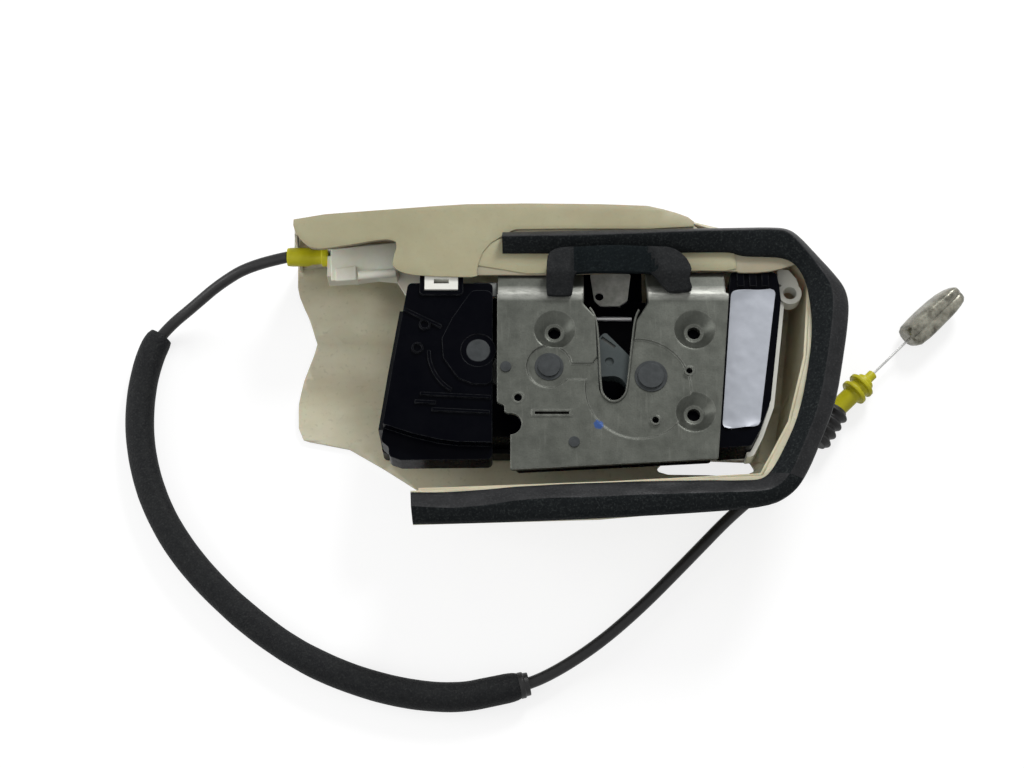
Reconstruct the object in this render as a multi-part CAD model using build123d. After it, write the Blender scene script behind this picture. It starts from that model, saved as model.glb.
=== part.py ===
from build123d import *
import math
import os

# Side door latch with its actuator housing, shield and release cable, in millimetres.
# The origin is the centre of the seated striker on the outer face of the faceplate.
# +Z points out of that face, +Y towards the mouth of the striker slot.

# Levels along Z, from the faceplate down to the surface that the shield lies on
plate_thickness = 1.8
recess_depth = 0.8
lip_depth = 1.3
catch_gap = 0.9
catch_thickness = 6.0
core_thickness = 4.0
floor_gap = 0.7
body_floor = 3.2
back_plate_thickness = 1.8
rivet_height = 1.0
lever_gap = 0.4
lever_thickness = 2.0
case_wall = 2.0
case_depth = 37.0
case_front_drop = 4.0
cover_thickness = 2.0
part_reach = 200.0
screw_head_height = 1.5
sheet_gap = 0.4
sheet_thickness = 1.1

plate_back = -plate_thickness
catch_top = -(plate_thickness + lip_depth + catch_gap)
catch_bottom = catch_top - catch_thickness
catch_middle = catch_top - catch_thickness / 2
core_top = catch_middle + core_thickness / 2
core_bottom = catch_middle - core_thickness / 2
cavity_floor = catch_bottom - floor_gap
body_back = cavity_floor - body_floor
back_plate_back = body_back - back_plate_thickness
lever_top = back_plate_back - rivet_height - lever_gap
lever_bottom = lever_top - lever_thickness
pocket_floor = lever_bottom - lever_gap
case_front = -case_front_drop
case_back = case_front - case_depth
cover_back = case_back - cover_thickness
shield_top = cover_back - screw_head_height - sheet_gap
ground = shield_top - sheet_thickness

# Faceplate
plate_outline = [(-44.2, 38.2), (-44.2, -6.5), (-41.4, -7.8), (-41.4, -10.4), (-39.1, -11.4),
                 (-39.1, -33.4), (38.9, -29.0), (45.5, 38.2)]
bite_centre = (-39.2, -15.2)
bite_radius = 4.3
bend_line = 38.2
flange_left = -44.0
flange_right = 44.2
flange_reach = 10.2
flange_drop = 4.2
slot_radius = 5.4
slot_outline = [(5.4, 0.0), (9.3, 26.9), (14.0, 34.4), (13.2, 60.0), (-10.5, 60.0),
                (-10.7, 34.0), (-6.1, 28.6), (-5.4, 0.0)]
slot_corner = 1.8
slot_edge_round = 1.1
lip_wall = 1.5
lip_end = 30.0
bolt_places = [(-22.1, 23.0), (31.7, 23.0), (30.6, -10.4)]
bolt_hole_radius = 2.5
cone_radius = 8.0
cone_foot_radius = 3.7
cone_depth = 4.0
cone_wall = 1.3
bolt_collar = 3.0
bolt_room = 0.8
pocket_sides = 8
recess_centre = (9.5, -1.0)
recess_radius = 20.3
recess_left_radius = 8.8
recess_blend = 7.0
round_hole_places = [(-36.2, -4.8, 1.5), (15.7, -13.8, 1.3), (29.1, 6.0, 1.2)]
hole_rim = 0.7
hole_rim_height = 0.35
rivet_places = [(-40.9, 7.7), (-15.1, -22.5)]
rivet_head_radius = 2.1
rivet_shank_radius = 1.2
rivet_dome = 0.5
slit_centre = (-23.4, -11.0)
slit_length = 15.6
slit_width = 1.1
louvre_height = 0.5
louvre_width = 2.6
fit_clearance = 0.05

# Catch and pawl, drawn closed
catch_pivot = (14.5, 4.1)
pawl_pivot = (-24.3, 8.0)
hook_radius = 25.0
hook_start = 133.0
tooth_radius = 23.7
throat_direction = 184.0
throat_radius = 5.4
jacket_wall = 0.8
hub_radius = 9.0
notch_radius = 21.3
notch_start = 210.5
notch_end = 233.0
tail_end = 250.0
tip_round = 0.5
bare_start = 200.0
bare_radius = 18.5
bare_spare = 8.0
catch_pin_radius = 3.6
catch_head_radius = 4.95
pawl_pin_radius = 3.0
pawl_head_radius = 4.2
head_step = 1.3
head_base_height = 0.35
head_height = 0.8
pin_tenon_drop = 1.0
pivot_clearance = 0.06
damper_groove = (-1.4, 19.2)
damper_length = 6.5
damper_width = 1.3
dimple_place = (-1.1, 11.3)
dimple_radius = 1.7
dimple_depth = 0.8
pawl_travel = 20.8
pawl_boss_radius = 6.5
pawl_inner_radius = 24.6
pawl_outer_radius = 31.0
pawl_tip_radius = 22.5
nose_start = 213.0
nose_end = 223.0
pawl_arm_width = 11.0
stud_radius = 2.0
stud_orbit = 28.0
stud_angle = 200.0
stud_reach = 0.3
moving_gap = 0.5

# Latch body and back plate
body_outline = [(-42.0, 37.0), (-42.0, -5.0), (-36.5, -9.0), (-34.0, -15.2), (-37.0, -20.0),
                (-37.0, -30.5), (37.5, -26.5), (43.0, 35.0), (40.0, 37.0)]
body_corner = 1.5
catch_clearance = 1.2
catch_room_start = 58.0
catch_room_end = 268.0
sweep_steps = 6
spring_pocket_depth = 2.4
catch_spring_radius = 8.4
pawl_spring_radius = 7.0
spring_strip = 0.7
spring_height = 1.9
spring_turns = 2
spring_pitch = 1.5
bumper_orbit = 20.5
bumper_radius = 2.4
bumper_gap = 0.3
slot_bumper_wall = 2.0
back_plate_outline = [(-36.0, 31.0), (-36.0, 0.0), (-30.0, -14.0), (-16.0, -24.0), (24.0, -22.0),
                      (36.0, -14.0), (38.5, 31.0), (14.0, 35.0), (-14.0, 35.0)]

# Actuator housing
left_lobe = [(-79.0, 44.0), (-84.5, 8.0), (-87.5, -13.5), (-88.5, -19.0), (-85.4, -21.6),
             (-85.3, -25.2), (-80.7, -26.8), (-46.0, -26.4), (-46.0, 44.0)]
right_lobe = [(46.9, 48.7), (38.8, -23.6), (52.2, -22.6), (55.5, -16.4), (60.2, -4.3), (64.3, 24.3),
              (66.0, 36.9), (65.6, 43.2), (64.7, 48.7)]
deep_outline = [(-46.1, 44.0), (-46.1, -14.0), (48.3, -14.0), (48.3, 44.0)]
chin_line = [(-90.0, -13.0), (-86.5, -14.2), (-76.4, -17.6), (-66.1, -20.1), (-58.9, -21.0),
             (-45.0, -21.3), (-45.0, -30.0), (-90.0, -30.0)]
chin_depth = 5.0
step_level = -20.0
boss_outline = [(-45.9, 40.6), (-54.0, 40.6), (-57.2, 35.9), (-61.7, 28.9), (-65.5, 20.6),
                (-64.9, 12.8), (-59.1, 4.4), (-53.5, 2.0), (-45.9, 1.7)]
boss_corner = 3.0
boss_rise = 0.9
eye_places = [(-74.9, 16.8), (-72.2, 26.5)]
eye_radius = 2.2
deep_half = 46.0
case_corner = 2.0
rib_width = 1.2
rib_height = 0.9
long_ribs = [(-60.0, -2.6, 27.0), (-71.5, -5.3, 8.0), (-58.0, -8.8, 22.0)]
long_rib_lean = -3.0
spoke_rib = (-73.0, 29.2, 16.0, -27.0)
arc_rib_radius = 18.4
arc_rib_angles = (180.0, 238.0)
step_rib_start = (50.6, 45.2)
step_rib_size = (2.6, 5.5)
step_rib_pitch = 4.8
step_rib_count = 3
lever_window = (-1.0, 24.0)
lever_pin_place = (-51.5, 15.7)
lever_pin_radius = 3.0
lever_disc_radius = 4.5
disc_rim = 2.2
disc_proud = 0.6
column_radius = 5.0
column_top_gap = 5.0
pin_socket_depth = 3.0
lever_hub_radius = 7.0
lever_arm_width = 9.4
fork_reach = 47.0
fork_clearance = 0.4
follower_place = (-58.5, 31.5)
follower_radius = 2.0
follower_length = 10.3
tail_width = 7.0

# Release gearing
gear_place = (-67.0, 26.0)
gear_module = 0.625
gear_teeth = 36
pinion_teeth = 12
pressure_angle = 25.0
backlash = 0.16
gear_thickness = 5.0
gear_lift = 5.0
gear_travel = 80.0
gear_pin_radius = 2.0
gear_boss_radius = 5.0
cam_height = 4.0
cam_gap = 0.4
cam_rise = 2.36
cam_dwell_radius = 6.0
motor_radius = 9.0
motor_head_gap = 1.0
motor_shaft_radius = 1.0
motor_gap = 1.0
motor_cup_wall = 1.5
motor_cup_depth = 8.0
motor_direction = 260.0

# Inside lever and the latch end of the cable
inside_pivot = (-68.0, 35.4)
inside_pin_radius = 2.5
inside_hub_radius = 4.5
inside_lever_gap = 2.3
cable_end = (-64.0, 62.1)
nipple_radius = 2.0
nipple_height = 4.8
fork_head_radius = 4.2
fork_end_gap = 0.9
arm_window_size = (18.0, 10.0)
arm_window_shift = (-4.0, 8.0)
inside_arm_width = 5.4
push_gap = 0.9
push_face = 5.0
cable_level = -20.0
wire_radius = 0.75
latch_wire_tail = 4.0

# Rear cover
cover_gap = 0.3
cover_wall = 1.8
cover_low_wall = 7.0
cover_rim = -11.0
hook_place = (70.6, 42.3)
hook_outer = 4.6
hook_inner = 2.6
hook_head = [(65.9, 52.6), (70.4, 52.2), (73.4, 48.4), (75.0, 43.0), (70.6, 45.2), (66.2, 46.0)]
hook_head_corner = 1.4
hook_height = 5.0
side_rim_top = 35.0
skirt_corner = (51.0, -26.0)
skirt_reach = 22.0
screw_places = [(-81.5, -8.5), (-75.5, 39.0), (-12.0, -9.5), (40.0, 39.0), (54.0, -8.5), (60.5, 43.0)]
screw_radius = 1.5
screw_head_radius = 3.3
screw_drive_radius = 1.4
screw_length = 9.0
screw_boss_radius = 3.4

# Electrical pieces
socket_place = (-66.0, 43.6)
socket_size = (13.6, 6.4)
socket_depth = 12.0
plug_gap = 0.3
plug_slot = (5.8, 2.0)
plug_slot_depth = 8.0
blade_size = (1.0, 0.6)
blade_pitch = 2.0
blade_height = 5.0
switch_size = (13.0, 7.0, 8.0)
switch_place = (22.0, -6.0)
strip_width = 2.4
strip_thickness = 0.8
strip_length = 40.0
strip_left = -76.0
strip_rows = [-8.5, -4.5, -0.5]

# Pieces in the mouth
tongue_outline = [(-7.2, 56.0), (9.2, 56.0), (7.6, 44.5), (4.5, 42.2), (-3.4, 42.2), (-5.6, 44.5)]
tongue_thickness = 1.2
tongue_hole = (-3.6, 46.2)
tongue_hole_radius = 1.7
mouth_depth = 4.6
mouth_room = [(-11.5, 44.5), (-11.5, 26.0), (-6.5, 20.0), (-6.5, -5.0), (7.5, -5.0), (10.5, 24.0),
              (15.0, 34.0), (15.0, 44.5)]
guide_bar_place = (1.6, 36.6)
guide_bar_length = 15.0
guide_bar_radius = 0.9

# Sticker, blank
label_outline = [(46.7, 41.0), (64.2, 41.6), (55.4, -15.2), (41.2, -16.2)]
label_thickness = 0.2
label_corner = 1.5

# Shield: a thin formed tub under the latch, with a rim that carries the seal
rim_level = -2.0
tub_floor = [(-124.0, 68.5), (-76.0, 71.0), (-50.0, 73.0), (16.0, 72.0), (34.0, 68.0), (66.5, 60.0),
             (76.5, 50.0), (70.5, 5.0), (66.5, -16.0), (52.5, -30.5), (-60.0, -33.0), (-76.5, -33.0)]
tub_rim = [(-124.0, 70.0), (-76.0, 73.5), (-50.0, 75.5), (16.0, 74.8), (36.0, 70.5), (69.0, 62.0),
           (79.5, 48.0), (76.0, 13.0), (68.5, -14.0), (56.5, -36.0), (-60.0, -40.5), (-76.5, -41.0)]
tub_opening = [(-150.0, 66.0), (-126.0, 66.0), (-121.0, 66.5), (-73.5, -30.0), (-73.5, -60.0),
               (-150.0, -60.0)]
back_edge = [(-123.5, 45.2), (-119.9, 36.4), (-115.8, 23.3), (-122.8, 3.9), (-123.7, -2.4),
             (-121.6, -6.7), (-103.4, -10.9), (-89.2, -19.3), (-76.5, -27.5)]
flap_edge = [(-84.3, 61.0), (-82.3, 59.8), (-84.9, 51.7), (-82.1, 49.6), (-50.9, 49.6), (70.5, 49.6),
             (78.0, 49.6)]
flap_left = [(-124.0, 64.5), (-119.4, 58.5), (-109.6, 55.9), (-103.7, 55.9)]
drain_outline = [(18.4, -19.8), (21.6, -16.7), (39.0, -15.6), (56.4, -16.3), (58.4, -19.9), (53.2, -22.3),
                 (38.8, -21.6), (23.6, -21.4)]
drain_corner = 1.2

# Foam seals
seal_outer = [(-42.0, 63.5), (-4.2, 64.3), (34.8, 66.3), (69.9, 65.6), (79.3, 58.4), (90.6, 40.6),
              (91.2, 33.6), (84.0, -7.2), (77.2, -23.0), (70.0, -38.7), (56.8, -47.6), (-6.1, -52.0),
              (-75.3, -54.0)]
seal_inner = [(-76.3, -42.0), (-50.4, -42.0), (-20.7, -39.5), (31.3, -38.6), (56.6, -38.0),
              (62.5, -27.0), (70.4, -11.2), (76.6, 13.0), (79.0, 33.6), (76.5, 46.1), (67.0, 54.6),
              (34.4, 55.0), (11.1, 54.5), (-42.0, 54.5)]
seal_height = 6.4
mouth_seal_outline = [(-25.4, 37.6), (-25.0, 50.0), (-21.0, 54.2), (24.0, 54.2), (29.5, 51.0),
                      (31.3, 46.0), (31.3, 39.0), (20.5, 38.2), (18.6, 41.5), (14.4, 45.8),
                      (-14.2, 46.4), (-16.0, 37.8)]
mouth_seal_low = 0.3
mouth_seal_height = 6.5

# Release cable
conduit_radius = 2.3
sleeve_radius = 5.7
sleeve_bore = 2.5
band_length = 7.0
band_lead = 0.3
band_step = 1.0
fitting_start = -128.5
fitting_end = -112.0
fitting_body_radius = 3.0
fitting_flange_radius = 3.8
fitting_flange_width = 2.6
fitting_bore_radius = 1.1
fitting_bore_depth = 14.0
fitting_step = 9.0
tray_outline = [(-112.0, 76.0), (-112.0, 52.0), (-100.0, 52.8), (-92.0, 54.0), (-84.5, 53.2), (-79.0, 44.0),
                (-70.0, 44.0), (-70.0, 50.0), (-76.0, 58.0), (-84.0, 76.0)]
tray_band = [(-112.0, 76.0), (-112.0, 52.0), (-100.0, 52.8), (-92.0, 54.0), (-84.5, 53.2), (-83.6, 55.0),
             (-92.0, 55.8), (-100.0, 54.6), (-110.4, 53.8), (-110.4, 76.0)]
tray_web = (-100.6, 55.6)
tray_web_size = (1.2, 6.0)
tray_drop = 6.0
tray_floor = 1.5
tray_rise = 4.0
tray_slot = 2.6
handle_level = -40.2
handle_start = (92.2, 5.2)
handle_direction = 44.0
handle_length = 19.5
handle_body_radius = 3.1
handle_flange_radius = 5.4
handle_flange_width = 1.7
handle_flange_places = [7.6, 11.6]
handle_tip_radius = 1.8
handle_tip_length = 3.0
handle_bore_depth = 17.0
inner_wire_radius = 0.5
inner_wire_bore_radius = 0.7
inner_wire_hidden = 15.5
inner_wire_shown = 31.9
clip_lap = 7.0
end_clip_side = [(0.0, 5.4), (-2.4, -5.6), (20.0, -5.6), (25.4, -2.0), (27.0, 2.6), (25.0, 5.4)]
end_clip_thickness = 9.4
end_clip_corner = 1.6
end_clip_edge = 1.5
end_clip_slot = 0.6
end_clip_slot_depth = 1.0
end_clip_notch = 3.0
end_clip_roll = 26.0
end_clip_lift = 1.3
boot_ribs = 4
boot_rib_radius = 5.7
boot_neck_radius = 4.2
boot_rib_width = 1.9
boot_pitch = 4.2
boot_gap = 0.9

# Route of the cable from the latch end to the boot, chosen by hand
route_to_sleeve = [(-128.5, 62.1, -20.0), (-143.0, 60.2, -22.9), (-156.8, 54.6, -29.8),
                   (-168.2, 47.4, -36.8), (-177.8, 40.4, -40.2)]
route_in_sleeve = [(-184.2, 31.2, -40.2), (-187.9, 11.4, -40.2), (-186.8, -11.0, -40.2),
                   (-179.4, -35.0, -40.2), (-165.2, -57.5, -40.2), (-143.0, -79.5, -40.2),
                   (-117.5, -97.4, -40.2), (-88.0, -108.6, -40.2), (-61.0, -112.2, -40.2),
                   (-42.5, -108.4, -40.2)]
route_to_boot = [(-28.5, -105.4, -40.2), (-8.0, -93.0, -40.2), (10.5, -77.4, -40.2),
                 (30.5, -57.2, -40.2), (50.5, -36.6, -40.2), (72.5, -20.2, -40.2),
                 (85.6, -4.6, -40.2)]



def polygon(points, corner=0.0):
    face = make_face(Polyline(*points, close=True))
    if corner > 0:
        return fillet(face.vertices(), corner)
    return face


def half_plane_above(level):
    return Pos(0, level + part_reach / 2) * Rectangle(2 * part_reach, part_reach)


def half_plane_left(edge):
    return Pos(edge - part_reach / 2, 0) * Rectangle(part_reach, 2 * part_reach)


def disc(place, radius):
    return Pos(place[0], place[1]) * Circle(radius)


def prism(face, low, high):
    return extrude(Pos(0, 0, low) * face, high - low)


def post(place, radius, low, high):
    return prism(disc(place, radius), low, high)


def ring(place, outer, inner, low, high):
    return prism(disc(place, outer) - disc(place, inner), low, high)


def polar(centre, radius, angle):
    turn = math.radians(angle)
    return (centre[0] + radius * math.cos(turn), centre[1] + radius * math.sin(turn))


def sector(centre, radius, start, end):
    arc = CenterArc(centre, radius, start, end - start)
    sides = Polyline(arc @ 1, Vector(*centre), arc @ 0)
    return make_face(arc.edges() + sides.edges())


def cone(place, foot_radius, top_radius, low, high):
    middle = Pos(place[0], place[1], (low + high) / 2)
    return middle * Cone(foot_radius, top_radius, high - low)


def bar(centre, length, width, angle):
    return Pos(centre[0], centre[1]) * Rot(0, 0, angle) * Rectangle(length, width)


def about(place, angle):
    return Pos(place[0], place[1]) * Rot(0, 0, angle) * Pos(-place[0], -place[1])


def slot_face():
    return polygon(slot_outline, slot_corner) + disc((0, 0), slot_radius)


def recess_face(grow=0.0):
    left = disc(pawl_pivot, recess_left_radius)
    right = disc(recess_centre, recess_radius)
    middle_x = (pawl_pivot[0] + recess_centre[0]) / 2
    neck = bar((middle_x, pawl_pivot[1] - 2), recess_centre[0] - pawl_pivot[0], recess_blend, 0)
    face = left + right + neck
    return offset(face, grow) if grow else face


# Faceplate: zinc plated steel with a bent back flange, formed bolt dimples and a flanged slot
def faceplate():
    outline = polygon(plate_outline, 0.9) - disc(bite_centre, bite_radius)
    plate = prism(outline, plate_back, 0)
    slope = math.atan2(flange_drop, flange_reach)
    inner = (bend_line - plate_thickness * math.tan(slope / 2), plate_back)
    tip = (bend_line + flange_reach, -flange_drop)
    under = (tip[0] - plate_thickness * math.sin(slope), tip[1] - plate_thickness * math.cos(slope))
    side = make_face(Polyline((bend_line, 0), tip, under, inner, close=True))
    plate += extrude(Plane.YZ.offset(flange_left) * side, flange_right - flange_left)
    plate += prism(recess_face(plate_thickness / 2), plate_back - recess_depth, plate_back)
    plate -= extrude(recess_face(), recess_depth, dir=(0, 0, -1), taper=30)
    lip = offset(slot_face(), lip_wall) - slot_face()
    lip -= half_plane_above(lip_end)
    plate += prism(lip, plate_back - lip_depth, plate_back)
    for place in bolt_places:
        plate += dimple(place)
    for place in bolt_places:
        plate -= cone(place, cone_foot_radius, cone_radius, -cone_depth, 0)
        plate -= post(place, bolt_hole_radius, -cone_depth - 2 * bolt_collar, 0)
    for x, y, radius in round_hole_places:
        plate += ring((x, y), radius + hole_rim, radius, -recess_depth, hole_rim_height)
        plate -= post((x, y), radius, 2 * plate_back, plate_thickness)
    plate += prism(bar(slit_centre, slit_length, louvre_width, 0), -recess_depth, louvre_height)
    plate -= prism(bar(slit_centre, slit_length - louvre_width, slit_width, 0), 2 * plate_back, 1)
    for place in rivet_places:
        plate -= post(place, rivet_shank_radius + fit_clearance, plate_back, 0)
    plate -= prism(slot_face(), -cone_depth - flange_drop, 1)
    plate -= post(catch_pivot, catch_pin_radius + fit_clearance, 2 * plate_back, 0)
    plate -= post(pawl_pivot, pawl_pin_radius + fit_clearance, 2 * plate_back, 0)
    for share, lean in ((1.0, 18), (0.45, 50)):
        depth = slot_edge_round * share
        plate -= extrude(Pos(0, 0, -depth) * slot_face(), depth, taper=-lean)
    return plate


def dimple(place):
    foot = cone_foot_radius + cone_wall
    shape = cone(place, foot, cone_radius + cone_wall, -cone_depth, 0)
    shape &= post(place, 2 * cone_radius, -cone_depth, plate_back)
    return shape + post(place, foot, -cone_depth - bolt_collar, -cone_depth)


def plate_rivets():
    rivets = Part()
    for place in rivet_places:
        rivets += post(place, rivet_head_radius, 0, rivet_dome)
        rivets += post(place, rivet_shank_radius, plate_back, 0)
    return rivets


# Catch: a steel fork with an over-moulded plastic jacket
def catch_profile():
    face = sector(catch_pivot, hook_radius, hook_start, throat_direction)
    face += sector(catch_pivot, tooth_radius, throat_direction, tail_end)
    face += disc(catch_pivot, hub_radius)
    room = throat_radius + jacket_wall
    way = 2 * hook_radius
    mid = polar((0, 0), way / 2, throat_direction)
    face -= disc((0, 0), room) + bar(mid, way, 2 * room, throat_direction)
    notch = sector(catch_pivot, 2 * tooth_radius, notch_start, notch_end)
    face -= notch - disc(catch_pivot, notch_radius)
    pivot = Vector(*catch_pivot)
    tips = [v for v in face.vertices() if (v.center() - pivot).length > notch_radius + 1]
    return fillet(tips, tip_round)


def catch_core():
    core = prism(catch_profile(), core_bottom, core_top)
    return core - post(catch_pivot, catch_pin_radius + pivot_clearance, catch_bottom, catch_top)


def catch_jacket():
    jacket = prism(offset(catch_profile(), jacket_wall), catch_bottom, catch_top)
    jacket -= prism(catch_profile(), core_bottom, core_top)
    bare = sector(catch_pivot, 2 * hook_radius, bare_start, tail_end + bare_spare)
    bare -= disc(catch_pivot, bare_radius)
    jacket -= prism(bare, catch_bottom, catch_top)
    jacket -= prism(bar(damper_groove, damper_length, damper_width, -38), core_top, catch_top)
    jacket -= post(dimple_place, dimple_radius, catch_top - dimple_depth, catch_top)
    return jacket - post(catch_pivot, catch_pin_radius + pivot_clearance, catch_bottom, catch_top)


def pivot_pin(place, radius, head_radius):
    seat = -recess_depth
    pin = post(place, radius, body_back, seat)
    pin += post(place, head_radius + head_step, seat, seat + head_base_height)
    pin += post(place, head_radius, seat, seat + head_base_height + head_height)
    tenon = radius - pin_tenon_drop
    pin += post(place, tenon, back_plate_back, body_back)
    return pin + post(place, radius, back_plate_back - rivet_height, back_plate_back)


# Pawl: a strut in compression between its pivot and the tooth of the catch
def pawl_profile():
    toe_low = polar(catch_pivot, pawl_tip_radius, nose_end)
    toe_high = polar(catch_pivot, pawl_outer_radius, nose_end)
    heel = polar(catch_pivot, pawl_inner_radius, nose_start)
    along = math.degrees(math.atan2(toe_high[1] - pawl_pivot[1], toe_high[0] - pawl_pivot[0]))
    low_side = polar(pawl_pivot, pawl_arm_width / 2, along - 90)
    high_side = polar(pawl_pivot, pawl_arm_width / 2, along + 90)
    arm = polygon([high_side, heel, toe_low, toe_high, low_side]) - disc(catch_pivot, pawl_inner_radius)
    nose = sector(catch_pivot, pawl_inner_radius + 1, nose_start, nose_end)
    nose -= disc(catch_pivot, pawl_tip_radius)
    return arm + nose + disc(pawl_pivot, pawl_boss_radius)


def pawl():
    shape = prism(pawl_profile(), core_bottom, core_top)
    shape += post(pawl_pivot, pawl_boss_radius, catch_bottom, catch_top)
    return shape - post(pawl_pivot, pawl_pin_radius + pivot_clearance, catch_bottom, catch_top)


def stud_place():
    return polar(catch_pivot, stud_orbit, stud_angle)


def pawl_stud():
    return post(stud_place(), stud_radius, lever_bottom + stud_reach, core_bottom)


def stud_slot():
    x, y = stud_place()
    away = math.hypot(x - pawl_pivot[0], y - pawl_pivot[1])
    start = math.degrees(math.atan2(y - pawl_pivot[1], x - pawl_pivot[0]))
    room = stud_radius + moving_gap
    spare = math.degrees(room / away)
    wide = sector(pawl_pivot, away + room, start - pawl_travel - spare, start + spare)
    return wide - disc(pawl_pivot, away - room)


# Springs: flat strip coils around the pivots
def coil(place, outer, turns):
    face = Sketch()
    for half in range(2 * turns):
        radius = outer - half * spring_pitch / 2
        shift = spring_pitch / 4 if half % 2 else -spring_pitch / 4
        centre = (place[0], place[1] + shift)
        start = 90 if half % 2 else -90
        half_ring = sector(centre, radius, start, start + 180) - disc(centre, radius - spring_strip)
        face += half_ring
    return face


def catch_spring():
    return prism(coil(catch_pivot, catch_spring_radius - moving_gap, spring_turns),
                 cavity_floor - spring_pocket_depth, cavity_floor - spring_pocket_depth + spring_height)


def pawl_spring():
    return prism(coil(pawl_pivot, pawl_spring_radius - moving_gap, spring_turns),
                 cavity_floor - spring_pocket_depth, cavity_floor - spring_pocket_depth + spring_height)


def bumper_place():
    reach = math.degrees((bumper_radius + bumper_gap) / bumper_orbit)
    return polar(catch_pivot, bumper_orbit, tail_end + reach)


# Latch body: moulded black carrier between the two plates
def latch_body():
    body = prism(polygon(body_outline, body_corner), body_back, plate_back)
    catch_room = hook_radius + jacket_wall + catch_clearance
    catch_space = sector(catch_pivot, catch_room, catch_room_start, catch_room_end)
    catch_space += disc(catch_pivot, hub_radius + jacket_wall + moving_gap)
    pawl_space = disc(pawl_pivot, pawl_boss_radius + moving_gap)
    for step in range(sweep_steps + 1):
        turned = -pawl_travel * step / sweep_steps
        pawl_space += about(pawl_pivot, turned) * offset(pawl_profile(), 1.5 * moving_gap)
    body -= prism(catch_space + pawl_space, cavity_floor, 0)
    body -= prism(recess_face(2 * plate_thickness), plate_back - recess_depth - fit_clearance, 0)
    slot = offset(slot_face(), lip_wall + fit_clearance)
    body -= prism(slot, plate_back - lip_depth - fit_clearance, 0)
    body -= prism(slot_face(), body_back, 0)
    for place in bolt_places:
        low = -cone_depth - bolt_collar - bolt_room
        pocket = RegularPolygon(cone_radius + cone_wall + moving_gap, pocket_sides, major_radius=False)
        body -= prism(Pos(*place) * pocket, low, 0)
    body -= post(catch_pivot, catch_spring_radius, cavity_floor - spring_pocket_depth, cavity_floor)
    body -= post(pawl_pivot, pawl_spring_radius, cavity_floor - spring_pocket_depth, cavity_floor)
    body -= post(catch_pivot, catch_pin_radius + fit_clearance, body_back, 0)
    body -= post(pawl_pivot, pawl_pin_radius + fit_clearance, body_back, 0)
    body -= prism(stud_slot(), body_back, cavity_floor)
    body -= prism(bumper_ring(fit_clearance), body_back, cavity_floor)
    body -= post(bumper_place(), bumper_radius - 1 + fit_clearance, body_back + 1, cavity_floor)
    return body


def bumper_ring(grow=0.0):
    shape = sector((0, 0), slot_radius + slot_bumper_wall + grow, 180, 360)
    return shape - disc((0, 0), slot_radius)


def slot_bumper():
    return prism(bumper_ring(), body_back, cavity_floor)


def catch_bumper():
    place = bumper_place()
    shape = post(place, bumper_radius, cavity_floor, catch_top)
    return shape + post(place, bumper_radius - 1, body_back + 1, cavity_floor)


def back_plate():
    plate = prism(polygon(back_plate_outline, 2.5), back_plate_back, body_back)
    plate -= prism(offset(slot_face(), moving_gap), back_plate_back, body_back)
    for place, radius in ((catch_pivot, catch_pin_radius), (pawl_pivot, pawl_pin_radius)):
        plate -= post(place, radius - pin_tenon_drop + fit_clearance, back_plate_back, body_back)
    return plate - prism(stud_slot(), back_plate_back, body_back)


# Release lever: turns on the pin whose end shows as a disc, and lifts the pawl's stud
def release_lever():
    x, y = stud_place()
    aim = math.degrees(math.atan2(y - lever_pin_place[1], x - lever_pin_place[0]))
    arm_end = polar(lever_pin_place, fork_reach / 2, aim)
    away = math.hypot(x - lever_pin_place[0], y - lever_pin_place[1])
    face = disc(lever_pin_place, lever_hub_radius) + bar(arm_end, fork_reach, lever_arm_width, aim)
    slot_length = fork_reach - away + 12
    slot_middle = polar(lever_pin_place, away - 5 + slot_length / 2, aim)
    face -= bar(slot_middle, slot_length, 2 * (stud_radius + fork_clearance), aim)
    tail_x, tail_y = follower_place
    tail = math.degrees(math.atan2(tail_y - lever_pin_place[1], tail_x - lever_pin_place[0]))
    tail_length = math.hypot(tail_x - lever_pin_place[0], tail_y - lever_pin_place[1])
    face += bar(polar(lever_pin_place, tail_length / 2, tail), tail_length, tail_width, tail)
    face += disc(follower_place, tail_width / 2)
    lever = prism(face, lever_bottom, lever_top)
    lever += post(follower_place, follower_radius, lever_bottom - follower_length, lever_bottom)
    return lever - post(lever_pin_place, lever_pin_radius + pivot_clearance, lever_bottom, lever_top)


def lever_pin():
    pin = post(lever_pin_place, lever_disc_radius, case_front - case_wall, case_front + disc_proud)
    low = case_back + column_height() - pin_socket_depth
    return pin + post(lever_pin_place, lever_pin_radius, low, case_front - case_wall)


def column_height():
    return lever_bottom - column_top_gap - case_back


def inside_top():
    return lever_bottom - inside_lever_gap


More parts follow.
